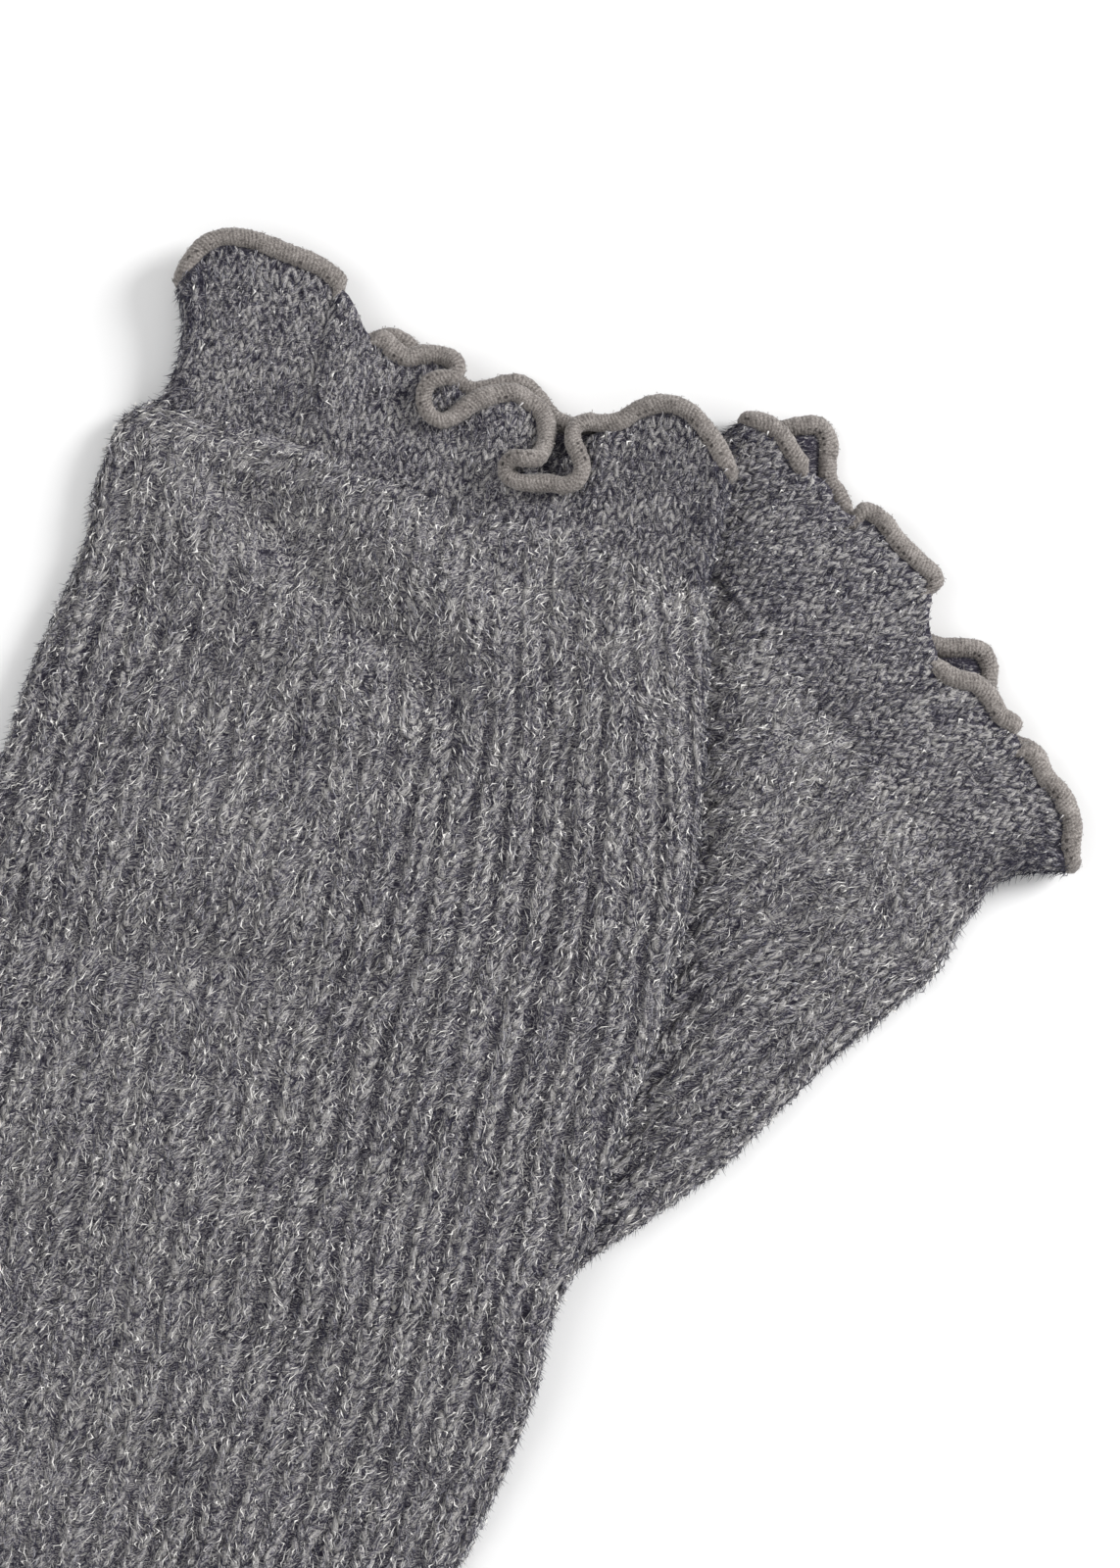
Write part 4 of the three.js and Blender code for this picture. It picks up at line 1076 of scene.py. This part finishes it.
# %% Colour helpers
def colour_ramp(tree, factor, stops):
    ramp = wire(tree, "ShaderNodeValToRGB", {"Fac": factor})
    elements = ramp.color_ramp.elements
    while len(elements) < len(stops):
        elements.new(0.5)
    for element, (place, colour) in zip(elements, stops):
        element.position = place
        element.color = (*colour, 1)
    return ramp.outputs["Color"]


def noise(tree, place, scale, detail=2.0, rough=0.5, kind="Fac"):
    sockets = {"Vector": place, "Scale": scale, "Detail": detail, "Roughness": rough}
    return out(wire(tree, "ShaderNodeTexNoise", sockets), kind)


def streaks(tree, place, heading, stretch, size):
    """Noise drawn out along a heading, about `size` mm wide and `stretch` times as long."""
    turned = wire(tree, "ShaderNodeMapping", {
        "Vector": place, "Rotation": (0, 0, -math.radians(heading)),
        "Scale": (1000 / size / stretch, 1000 / size, 1000 / size)})
    return noise(tree, out(turned), 1.0, rough=0.65)


def mixed(tree, a, b, factor=0.5):
    made = wire(tree, "ShaderNodeMix", data_type="FLOAT")
    for socket, value in zip((made.inputs[0], made.inputs[2], made.inputs[3]), (factor, a, b)):
        if isinstance(value, bpy.types.NodeSocket):
            tree.links.new(value, socket)
        else:
            socket.default_value = value
    return made.outputs[0]


def object_place(tree):
    return out(wire(tree, "ShaderNodeTexCoord"), "Object")


def number_of(tree, name, kind="Fac"):
    """A number or a direction that is kept on the mesh."""
    return out(wire(tree, "ShaderNodeAttribute", attribute_name=name), kind)


def rough_up(tree, shader, height, distance, strength):
    sockets = {"Height": height, "Distance": distance, "Strength": strength}
    tree.links.new(out(wire(tree, "ShaderNodeBump", sockets)), shader.inputs["Normal"])


print("helpers:", [helper.__name__ for helper in (colour_ramp, noise, streaks, mixed, rough_up)])


# %% Locks of brushed fibres
FIBRE = 0.27  # how wide a lock of fibres is, in mm
LOCK_HEADINGS = [-48, -16, 14, 46]  # ways that the locks lie, to either side of the leg
LOCK_STRETCH = 7
LOCK_SWIRL = 0.0055  # metres that a lock strays from its straight line


def brushed_fibres(tree, place, heading):
    """Locks of fine fibres that cross each other, and lie another way from spot to spot."""
    swirl = vector_maths(tree, "SCALE", noise(tree, place, 190.0, 1.0, kind="Color"), LOCK_SWIRL)
    place = vector_maths(tree, "ADD", place, swirl)
    fibres = None
    for number, turn in enumerate(LOCK_HEADINGS):
        shifted = vector_maths(tree, "ADD", place, (0.37 * number, 0.11 * number, 0.0))
        lock = streaks(tree, shifted, heading + turn, LOCK_STRETCH, FIBRE)
        if fibres is None:
            fibres = lock
            continue
        patch = noise(tree, shifted, 420.0, 1.0)
        fibres = mixed(tree, fibres, lock, ranged(tree, patch, 0.47, 0.53))
    return fibres


print("locks lie at", LOCK_HEADINGS, "degrees to the leg")


# %% Melange yarn
DARK_FIBRE = (0.021, 0.018, 0.031)
MID_FIBRE = (0.124, 0.117, 0.143)
LIGHT_FIBRE = (0.45, 0.435, 0.42)


WOOLLY = {"Roughness": 0.95, "Specular IOR Level": 0.12,
          "Sheen Weight": 0.15, "Sheen Roughness": 0.6}


def cloth_yarn(name, heading):
    """The cloth below the stitches, which shows in the grooves and underneath."""
    material, tree, shader = new_material(name, WOOLLY)
    place = object_place(tree)
    fibres = brushed_fibres(tree, place, heading)
    shade = mixed(tree, fibres, streaks(tree, place, heading, 2.2, 5.5), 0.12)
    # Painted shade: the colour darkens where the mesh carries it, between the stitches and beside
    # the roll.
    painted_darkening = maths(tree, "MULTIPLY", number_of(tree, "painted_shade"), 0.035)
    shade = maths(tree, "SUBTRACT", shade, painted_darkening)
    colour = colour_ramp(tree, shade, [
        (0.40, DARK_FIBRE), (0.482, MID_FIBRE), (0.585, LIGHT_FIBRE)])
    tree.links.new(colour, shader.inputs["Base Color"])
    rough_up(tree, shader, fibres, 0.0006, 0.6)
    return material


def stitch_yarn(name, heading):
    """Brushed yarn: fibres cross it, over strands that run along each arm of a stitch."""
    material, tree, shader = new_material(name, WOOLLY)
    tone = number_of(tree, "tone")
    drawn = wire(tree, "ShaderNodeMapping", {"Vector": number_of(tree, "strand", "Vector"),
                                             "Scale": (6.5, 6.5, 2.0)})
    strands = out(wire(tree, "ShaderNodeTexNoise", {
        "Vector": out(drawn), "W": maths(tree, "MULTIPLY", tone, 90.0), "Scale": 1.0, "Detail": 3.0,
        "Roughness": 0.7}, noise_dimensions="4D"), "Fac")
    place = object_place(tree)
    fibres = brushed_fibres(tree, place, heading)
    shade = mixed(tree, strands, fibres, 0.55)
    shade = mixed(tree, shade, streaks(tree, place, heading, 2.0, 6.5), 0.13)
    shade = mixed(tree, shade, tone, 0.06)
    colour = colour_ramp(tree, shade, [
        (0.43, DARK_FIBRE), (0.482, MID_FIBRE), (0.545, LIGHT_FIBRE)])
    tree.links.new(colour, shader.inputs["Base Color"])
    rough_up(tree, shader, mixed(tree, strands, fibres, 0.5), 0.0006, 0.7)
    return material


upper_yarn = cloth_yarn("upper_melange_yarn", UPPER["heading"])
lower_yarn = cloth_yarn("lower_melange_yarn", LOWER["heading"])
upper_stitch_yarn = stitch_yarn("upper_stitch_yarn", UPPER["heading"])
lower_stitch_yarn = stitch_yarn("lower_stitch_yarn", LOWER["heading"])
print("yarns:", [m.name for m in (upper_yarn, lower_yarn, upper_stitch_yarn, lower_stitch_yarn)])


# %% Loose fibres
def loose_fibre(name, stops):
    material, tree, shader = new_material(name, {"Roughness": 0.7, "Specular IOR Level": 0.3})
    colour = colour_ramp(tree, number_of(tree, "tone"), stops)
    tree.links.new(colour, shader.inputs["Base Color"])
    return material


fibre_colours = loose_fibre("loose_fibres", [
    (0.0, (0.014, 0.013, 0.028)), (0.43, (0.042, 0.041, 0.068)), (0.55, (0.315, 0.31, 0.35)),
    (1.0, (0.98, 0.96, 0.92))])
thread_fluff = loose_fibre("thread_fluff", [
    (0.0, (0.09, 0.08, 0.075)), (0.5, (0.23, 0.21, 0.195)), (1.0, (0.48, 0.45, 0.42))])
print("fibres:", fibre_colours.name, "and", thread_fluff.name)

# %% Wrapped edge thread
NEEDLE_LINE = 0.0021  # how far round from the cloth the needle goes in
NEEDLE_STEP = 1.6  # mm from one needle hole to the next
WRAP_SLANT = 260.0  # turns of the wraps for each metre round the roll


def needle_hole_shade(tree, along, around, spot):
    """Painted shade: 1 in the small sunk stitches of the needle's line, and 0 beside them."""
    off_line = maths(tree, "SUBTRACT", maths(tree, "ABSOLUTE", around), NEEDLE_LINE)
    on_line = ranged(tree, maths(tree, "ABSOLUTE", off_line), 0.0004, 0.0002)
    beat = maths(tree, "SINE", maths(tree, "MULTIPLY", along, 2000 * math.pi / NEEDLE_STEP))
    hole_shade = maths(tree, "MULTIPLY", on_line, ranged(tree, beat, -0.2, 0.7))
    seen = ranged(tree, noise(tree, spot, 240.0), 0.5, 0.64, 0.0, 0.3)
    return maths(tree, "MULTIPLY", hole_shade, seen)


def wrapped_thread(name):
    material, tree, shader = new_material(name, {
        "Roughness": 0.9, "Specular IOR Level": 0.2, "Sheen Weight": 0.2})
    along, around = split(tree, out(wire(tree, "ShaderNodeUVMap", uv_map="cloth_map")))[:2]
    turns = maths(tree, "ADD", maths(tree, "MULTIPLY", along, 1000 / WRAP),
                  maths(tree, "MULTIPLY", around, WRAP_SLANT))
    wave = maths(tree, "SINE", maths(tree, "MULTIPLY", turns, 2 * math.pi))
    ridge = ranged(tree, wave, -1.0, 1.0)
    spot = object_place(tree)
    fluff = noise(tree, spot, 2600.0, 3.0, 0.7)
    # The wraps' ridge paints shade between the wraps and light on their crests.
    shade = mixed(tree, mixed(tree, ridge, fluff, 0.9), noise(tree, spot, 320.0), 0.2)
    # Painted shade in the sunk needle holes.
    shade = maths(tree, "SUBTRACT", shade, needle_hole_shade(tree, along, around, spot))
    colour = colour_ramp(tree, shade, [
        (0.12, (0.02, 0.018, 0.018)), (0.38, (0.10, 0.088, 0.084)), (0.5, (0.21, 0.190, 0.177)),
        (0.66, (0.39, 0.36, 0.34))])
    tree.links.new(colour, shader.inputs["Base Color"])
    rough_up(tree, shader, mixed(tree, ridge, fluff, 0.8), 0.0003, 0.6)
    return material


edge_thread = wrapped_thread("warm_grey_edge_thread")
print("thread:", edge_thread.name)

# %% [markdown]
# ## Knit stitches
#
# A knit stitch shows as a V: two arms of yarn that lean towards each other. In a rib one column
# of them runs down each ridge, with the points of the Vs towards the plain end. A bump texture
# would look flat from the side, so every arm is a small spindle of yarn. The places, directions
# and sizes come from the same rules as the cloth, and a tree puts a spindle on each place.

# %% Tree for stitch arms
def stitch_tree(name, material):
    tree, size = new_tree(name, Sides=5)
    ball = wire(tree, "GeometryNodeMeshUVSphere", {
        "Segments": size["Sides"], "Rings": 3, "Radius": 0.5})
    place = out(wire(tree, "GeometryNodeInputPosition"))
    spindle = wire(tree, "GeometryNodeStoreNamedAttribute", {
        "Geometry": out(ball, "Mesh"), "Name": "strand", "Value": place},
        data_type="FLOAT_VECTOR", domain="POINT")
    places = wire(tree, "GeometryNodeMeshToPoints", {"Mesh": size["Geometry"]})
    lie = wire(tree, "FunctionNodeAxesToRotation", {
        "Primary Axis": attribute(tree, "lie", "FLOAT_VECTOR"),
        "Secondary Axis": attribute(tree, "up", "FLOAT_VECTOR")},
        primary_axis="Z", secondary_axis="X")
    arms = wire(tree, "GeometryNodeInstanceOnPoints", {
        "Points": out(places), "Instance": out(spindle), "Rotation": out(lie),
        "Scale": attribute(tree, "size", "FLOAT_VECTOR")})
    finish_tree(tree, out(arms), material)
    return tree


def stitch_places(name, places, lies, ups, sizes, tones):
    """Loose points that carry where each arm lies, which way is up, and its size in metres."""
    obj = make_object(name, places)
    for title, values in (("lie", lies), ("up", ups), ("size", sizes / 1000)):
        set_direction(obj, title, values)
    set_number(obj, "tone", tones)
    return obj


upper_stitch_tree = stitch_tree("upper_knit_stitches", upper_stitch_yarn)
lower_stitch_tree = stitch_tree("lower_knit_stitches", lower_stitch_yarn)
print("stitch trees:", upper_stitch_tree.name, "and", lower_stitch_tree.name)


# %% Where the upper one lies on the lower one
def under_upper(x, y):
    """1 well inside the place where the upper leg lies, and 0 outside it."""
    across, down = to_leg(UPPER, x, y)
    to_fold = np.minimum(across + left_width(UPPER, down), right_width(UPPER, down) - across)
    inside = np.minimum(to_fold, np.minimum(down, LENGTH - down))
    return ease((inside - 4) / 8)


print("the lower leg's lettuce end is under the upper one by", under_upper(*LOWER["lettuceEnd"]))

# %% Arms of stitches
COURSE = 2.9
ARM_ASIDE = 1.1  # from the middle of a rib to an arm
ARM_LEAN = math.radians(21)
ARM_SIZE = (1.5, 1.75, 4.5)  # thickness, width and length of one arm
PALE_HIGHLIGHT_SHARE = 0.5  # share of arms with a pale strand on top, part pale fibre, part painted highlight
PALE_HIGHLIGHT_STRAND = (0.35, 0.45, 2.3)


def arms_on(place, turn, down, side, rng, lean=ARM_LEAN, size=ARM_SIZE):
    """Places, directions, sizes and tones of the arms on one surface."""
    step = 0.15
    here = place(turn, down)
    along = unit(place(turn, down + step) - place(turn, down - step))
    across = unit(place(turn + step / 270, down) - place(turn - step / 270, down))
    up = unit(np.cross(across, -along))
    angle = lean + rng.normal(0, math.radians(6), len(turn))
    lie = along * np.cos(angle)[:, None] - across * (side * np.sin(angle))[:, None]
    lie = unit(lie + up * rng.normal(0, 0.06, len(turn))[:, None])
    sizes = np.array(size) * rng.normal(1, (0.12, 0.12, 0.10), (len(turn), 3))
    tones = np.clip(rng.normal(0.5, 0.15, len(turn)), 0, 1)
    return here, lie, up, sizes, tones


print("an arm is", ARM_SIZE[2], "mm long, and a course is", COURSE, "mm")


# %% Stitches of the ribs
def rib_stitches(leg, name, tree, seed):
    rng = np.random.default_rng(seed)
    rows = np.arange(leg["seam"] + 1.6, LENGTH - 1.5, COURSE)
    ribs, down, side = (v.ravel() for v in np.meshgrid(
        np.arange(-8, RIBS // 2 + 2), rows, (-1.0, 1.0), indexing="ij"))
    around = 2 * (left_width(leg, down) + right_width(leg, down))
    down = down + rng.normal(0, 0.16, len(down))
    crest = ribs / RIBS + ribs_turned(leg, down)
    aside = (side * ARM_ASIDE + rng.normal(0, 0.12, len(down))) / around
    turn = crest + rib_drift(crest, down) + aside
    kept = (turn > -0.006) & (turn < 0.506)
    if leg is LOWER:
        places = tube_points(leg, turn, down)
        kept &= under_upper(places[:, 0], places[:, 1]) < 0.99
    turn, down, side = turn[kept], down[kept], side[kept]

    def place(turn, down):
        return tube_points(leg, turn, down, rib=RIB_HEIGHT, out=-0.1)

    here, lies, ups, sizes, tones = arms_on(place, turn, down, side, rng)
    points = stitch_places(name + "_places", here, lies, ups, sizes, tones)
    made = grown(name, points, tree)
    take_away(points)
    # Pale strands on the arms' tops: partly the yarn's pale fibres, partly painted highlights.
    pale_highlight = rng.random(len(turn)) < PALE_HIGHLIGHT_SHARE
    top = here + ups * sizes[:, :1] * 0.42 + lies * rng.normal(0, 0.6, (len(turn), 1))
    top += np.cross(ups, lies) * rng.normal(0, 0.3, (len(turn), 1))
    strand = np.array(PALE_HIGHLIGHT_STRAND) * rng.normal(1, 0.2, (len(turn), 3))
    points = stitch_places(name + "_pale_places", top[pale_highlight], lies[pale_highlight], ups[pale_highlight], strand[pale_highlight],
                           rng.uniform(0.9, 1.7, pale_highlight.sum()))
    strands = grown(name + "_pale_highlight", points, tree, Sides=3)
    take_away(points)
    return made, strands


upper_stitches = rib_stitches(UPPER, "upper_rib_stitches", upper_stitch_tree, 21)
lower_stitches = rib_stitches(LOWER, "lower_rib_stitches", lower_stitch_tree, 22)

# %% [markdown]
# The plain band is knit with every column on its face, so its Vs stand closer together and lie
# flatter. Each column runs from the seam to the rim and widens as the band flares.

# %% Places on a band
BAND_COURSE = 2.5
BAND_ARM = (1.1, 1.3, 3.8)
BAND_LEAN = math.radians(22)


def band_surface(leg, front):
    """A function that gives places on the band's face from a share round and a share up."""
    roots = sample_rim(leg, "cloth", BAND_COLUMNS)["root"]
    closed_roots = np.concatenate([roots[-1:] - 1, roots, roots[:1] + 1])
    closed = np.concatenate([front[:, -1:], front, front[:, :1]], 1)

    def place(turn, up):
        row = np.clip(up, 0, 1) * BAND_ROWS
        low = np.minimum(row.astype(int), BAND_ROWS - 1)
        part = row - low
        spot = np.interp(turn, closed_roots, np.arange(len(closed_roots)))
        first = np.minimum(spot.astype(int), len(closed_roots) - 2)
        share = (spot - first)[:, None]
        below, above = (closed[line, first] * (1 - share) + closed[line, first + 1] * share
                        for line in (low, low + 1))
        return below * (1 - part)[:, None] + above * part[:, None]

    return place


print("a band's arm is", BAND_ARM[2], "mm long, and a course is", BAND_COURSE, "mm")


# %% Stitches of the bands
def band_stitches(leg, name, tree, front, seed):
    rng = np.random.default_rng(seed)
    surface = band_surface(leg, front)
    wales = np.arange(0.5, RIBS) / (2 * RIBS)
    tall = np.linalg.norm(surface(wales, wales * 0 + 1) - surface(wales, wales * 0), axis=1)
    turns, ups, sides = [], [], []
    for wale, height in zip(wales, tall):
        courses = max(int(height / BAND_COURSE), 2)
        for course in range(courses):
            for side in (-1.0, 1.0):
                turns.append(wale + side * 0.0028)
                ups.append((course + 0.6) / (courses + 0.3))
                sides.append(side)
    turn = np.array(turns) + rng.normal(0, 0.0005, len(turns))
    up, side = np.array(ups) + rng.normal(0, 0.008, len(ups)), np.array(sides)

    def place(turn, down):
        return surface(turn, -down / BAND)

    places, lies, normals, sizes, tones = arms_on(place, turn, -up * BAND, side, rng,
                                                  BAND_LEAN, BAND_ARM)
    points = stitch_places(name + "_places", places - 0.1 * normals, lies, normals, sizes, tones)
    made = grown(name, points, tree)
    take_away(points)
    return made


upper_band_stitches = band_stitches(UPPER, "upper_band_stitches", upper_stitch_tree,
                                    upper_band_front, 23)
lower_band_stitches = band_stitches(LOWER, "lower_band_stitches", lower_stitch_tree,
                                    lower_band_front, 24)

# %% [markdown]
# ## The brushed pile
#
# Brushing pulls fine fibres out of the yarn until they cover the stitches. They lie mostly along
# the leg, curve a little, and are as mixed in tone as the yarn. A tree scatters bent slivers over
# a surface just above the stitches: long fibres, curls, a few pale tufts and stray hairs. More
# hairs stand out from the folds, which makes the soft halo along the edges. Particle hair could
# do this too, but here the fibres are slivers of real mesh.

# %% Tree for fibres
def bent_sliver(tree):
    """A three-sided sliver, one metre long and wide before it is scaled, that bows to one side."""
    sliver = wire(tree, "GeometryNodeMeshUVSphere", {"Segments": 3, "Rings": 2, "Radius": 0.5})
    height = split(tree, out(wire(tree, "GeometryNodeInputPosition")))[2]
    middle = maths(tree, "LESS_THAN", maths(tree, "ABSOLUTE", height), 0.1)
    bow = wire(tree, "ShaderNodeCombineXYZ", {"X": maths(tree, "MULTIPLY", middle, 3.0)})
    return out(wire(tree, "GeometryNodeSetPosition", {"Geometry": out(sliver, "Mesh"),
                                                      "Offset": out(bow)}))


def fibre_tree(name, material):
    tree, size = new_tree(name, PerSquareMetre=400000.0, Shortest=0.0015, Longest=0.005,
                          Width=0.00017, Swirl=1.3, Spread=0.4, Lowest=-0.12, Highest=0.2,
                          Darkest=0.0, Palest=1.0, Seed=1)
    density = maths(tree, "MULTIPLY", attribute(tree, "pile"), size["PerSquareMetre"])
    scatter = wire(tree, "GeometryNodeDistributePointsOnFaces", {
        "Mesh": size["Geometry"], "Density": density, "Seed": size["Seed"]})
    along, normal = attribute(tree, "along", "FLOAT_VECTOR"), out(scatter, "Normal")
    aside = vector_maths(tree, "CROSS_PRODUCT", along, normal)
    lean = chance(tree, maths(tree, "MULTIPLY", size["Spread"], -1.0), size["Spread"], 3)
    eddies = wire(tree, "ShaderNodeTexNoise", {"Scale": 110.0, "Detail": 2.0})
    eddy = ranged(tree, out(eddies, "Fac"), 0.3, 0.7, -1.0, 1.0, clamp=False)
    lean = maths(tree, "ADD", lean, maths(tree, "MULTIPLY", eddy, size["Swirl"]))
    rise = chance(tree, size["Lowest"], size["Highest"], 4)
    aim = vector_maths(tree, "ADD", along, vector_maths(tree, "SCALE", aside, lean))
    aim = vector_maths(tree, "ADD", aim, vector_maths(tree, "SCALE", normal, rise))
    lie = wire(tree, "FunctionNodeAxesToRotation", {"Primary Axis": aim, "Secondary Axis": normal},
               primary_axis="Z", secondary_axis="X")
    roll = wire(tree, "FunctionNodeAxisAngleToRotation", {
        "Axis": (0, 0, 1), "Angle": chance(tree, 0.0, 2 * math.pi, 5)})
    turned = wire(tree, "FunctionNodeRotateRotation", {
        "Rotation": out(lie), "Rotate By": out(roll)}, rotation_space="LOCAL")
    width = maths(tree, "MULTIPLY", size["Width"], chance(tree, 0.6, 1.5, 6))
    scale = wire(tree, "ShaderNodeCombineXYZ", {
        "X": width, "Y": width, "Z": chance(tree, size["Shortest"], size["Longest"], 7)})
    tone = chance(tree, size["Darkest"], size["Palest"], 8)
    toned = wire(tree, "GeometryNodeStoreNamedAttribute", {
        "Geometry": out(scatter, "Points"), "Name": "tone", "Value": tone},
        data_type="FLOAT", domain="POINT")
    fibres = wire(tree, "GeometryNodeInstanceOnPoints", {
        "Points": out(toned), "Instance": bent_sliver(tree), "Rotation": out(turned),
        "Scale": out(scale)})
    finish_tree(tree, out(fibres), material)
    return tree


pile_tree = fibre_tree("brushed_pile", fibre_colours)
fluff_tree = fibre_tree("thread_fluff", thread_fluff)
print("fibre trees:", pile_tree.name, "and", fluff_tree.name)


# %% Surfaces that the pile grows on
def pile_surface(name, grid, along, pile, closed=False):
    """A surface for a scatter. A grid that runs down the leg is turned to face outwards."""
    rows, columns = grid.shape[:2]
    faces = grid_faces(rows, columns, flip=not closed)
    if not closed:
        faces = faces[faces[:, 2] % columns != 0]
    obj = make_object(name, grid, faces)
    set_direction(obj, "along", unit(along))
    set_number(obj, "pile", np.broadcast_to(pile, (rows, columns)))
    return obj


def scattered(name, surface, scatters, seed, palest=1.0):
    """One piece for each scatter. `palest` is for those that name no palest tone."""
    pieces = []
    for part, number, sizes in scatters:
        sizes = {"Palest": palest, **sizes, "Seed": seed + number}
        pieces.append(grown(name + part, surface, pile_tree, **sizes))
    take_away(surface)
    return pieces


print("helpers:", [helper.__name__ for helper in (pile_surface, scattered)])


# %% Kinds of fibre
PILE = 505000.0  # fibres on each square metre, in each of two scatters
HALO = 1600000.0
HALO_REACH = 0.008  # the halo grows on this share of the way round, on either side of a fold
HALO_HAIRS = {"PerSquareMetre": HALO, "Shortest": 0.0015, "Longest": 0.0055, "Width": 0.00018,
              "Spread": 1.2, "Lowest": 0.6, "Highest": 2.8, "Darkest": 0.1, "Palest": 0.6}
TUFTS = {"Shortest": 0.0010, "Longest": 0.0024, "Width": 0.00034, "Swirl": 0.4, "Spread": 0.45}
LEG_SCATTERS = [
    ("", 0, {"PerSquareMetre": PILE, "Shortest": 0.0013, "Longest": 0.0045, "Width": 0.00019}),
    ("_curls", 1, {"PerSquareMetre": PILE, "Shortest": 0.001, "Longest": 0.003, "Width": 0.00023,
                   "Spread": 0.9, "Highest": 0.3}),
    ("_tufts", 2, {"PerSquareMetre": PILE / 7, **TUFTS, "Lowest": 0.0, "Highest": 0.4,
                   "Darkest": 0.7, "Palest": 1.2}),
    ("_strays", 3, {"PerSquareMetre": PILE / 30, "Shortest": 0.002, "Longest": 0.006,
                    "Width": 0.00011, "Spread": 1.2, "Lowest": 0.3, "Highest": 1.6,
                    "Palest": 1.0}),
]
BAND_SCATTERS = [
    ("", 0, {"PerSquareMetre": PILE * 3.8, "Longest": 0.004, "Highest": 0.6, "Lowest": 0.15,
             "Swirl": 0.6, "Spread": 0.4}),
    ("_tufts", 2, {"PerSquareMetre": PILE / 5, **TUFTS, "Lowest": 0.1, "Highest": 0.6,
                   "Darkest": 0.6, "Palest": 1.0}),
]
print("scatters:", len(LEG_SCATTERS), "on a leg,", len(BAND_SCATTERS), "on a band, and the halo")

# %% Pile on the legs
def leg_pile(leg, name, palest, seed):
    down = np.linspace(leg["seam"], LENGTH - 1, 140)[:, None]
    turn = np.linspace(-0.012, 0.512, 170)[None, :]
    grid = tube_points(leg, turn, down, rib=RIB_HEIGHT, out=0.72)
    wave = rib_wave(leg, turn, down)
    thick = (1 - 0.7 * ease((down - leg["pileFull"]) / 40)) * (
        1 - 0.28 * grooved(leg, turn, down) * (1 - ease(wave + 0.75)))
    if leg is LOWER:
        thick = thick * (1 - under_upper(grid[..., 0], grid[..., 1]))
    surface = pile_surface(name + "_surface", grid, np.gradient(grid, axis=0), thick)
    piles = scattered(name, surface, LEG_SCATTERS, seed, palest)
    for end, middle in (("left", 0.0), ("right", 0.5)):
        turn = np.linspace(middle - HALO_REACH, middle + HALO_REACH, 7)[None, :]
        grid = tube_points(leg, turn, down, rib=RIB_HEIGHT, out=0.2)
        shown = 1.0 if leg is UPPER else 1 - under_upper(grid[..., 0], grid[..., 1])
        fold = pile_surface(name + "_fold", grid, np.gradient(grid, axis=0), shown)
        piles += scattered(name, fold, [("_halo_" + end, 5, HALO_HAIRS)], seed)
    return piles


# Painted light and shade: the upper leg's pile reaches paler tones than the lower one's, though both
# are one yarn.
upper_piles = leg_pile(UPPER, "upper_pile", 1.12, 31)
lower_piles = leg_pile(LOWER, "lower_pile", 1.0, 41)

# %% Pile on the bands
HIDDEN_PILE = 0.12  # share of the pile on a band's back half


def band_pile(leg, name, front, palest, seed):
    along = -np.gradient(front, axis=0)
    roots = sample_rim(leg, "cloth", BAND_COLUMNS)["root"]
    pile = np.where((roots < 0.51) | (roots > 0.99), 1.0, HIDDEN_PILE)[None, :]
    surface = pile_surface(name + "_surface", front, along, pile, closed=True)
    piles = scattered(name, surface, BAND_SCATTERS, seed, palest)
    beside = (beside_fold(roots, 0) + beside_fold(roots, 0.5))[None, :]
    fold = pile_surface(name + "_fold", front, along, beside**4, closed=True)
    return piles + scattered(name, fold, [("_halo", 5, HALO_HAIRS)], seed)


# The bands' pile is darker, partly the plain knit's own tone and partly painted shade; the lower
# band's is darker again as painted shade.
upper_band_pile = band_pile(UPPER, "upper_band_pile", upper_band_front, 0.70, 35)
lower_band_pile = band_pile(LOWER, "lower_band_pile", lower_band_front, 0.58, 36)

# %% Fluff on the rolls
FLUFF = {"PerSquareMetre": PILE * 1.8, "Shortest": 0.0005, "Longest": 0.0017, "Width": 0.00012,
         "Swirl": 0.6, "Spread": 0.5, "Lowest": -0.1, "Highest": 0.5}
roll_fluff = [grown("upper_thread_fluff", upper_roll, fluff_tree, Seed=37, **FLUFF),
              grown("lower_thread_fluff", lower_roll, fluff_tree, Seed=38, **FLUFF)]

# %% [markdown]
# ## Pieces in place of the solids
#
# Every piece rides on the one body, because nothing in a pair of leg warmers is jointed. Each
# cloth piece replaces its solid, and stitches and pile go with it.

# %% Materials and rides
GROUPS = [
    ("upper_leg", upper_cloth, upper_yarn, "rib_knit", [*upper_stitches, *upper_piles]),
    ("lower_leg", lower_cloth, lower_yarn, "rib_knit", [*lower_stitches, *lower_piles]),
    ("upper_band", upper_band, upper_yarn, "plain_knit", [upper_band_stitches, *upper_band_pile]),
    ("lower_band", lower_band, lower_yarn, "plain_knit", [lower_band_stitches, *lower_band_pile]),
    ("upper_lettuce_edge", upper_roll, edge_thread, "edge_thread", roll_fluff[:1]),
    ("lower_lettuce_edge", lower_roll, edge_thread, "edge_thread", roll_fluff[1:]),
]
for node, piece, material, slot, details in GROUPS:
    piece.data.materials.append(material)
    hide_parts(node)
    for obj in [piece, *details]:
        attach(obj, "root")
print("pieces:", sum(1 + len(group[4]) for group in GROUPS))

visual_low, visual_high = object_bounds()
grown_by = [max(a - b, c - d) * 1000 for a, b, c, d in
            zip(solid_low, visual_low, visual_high, solid_high)]
print("stands proud of the solids by", [round(g, 1) for g in grown_by], "mm")
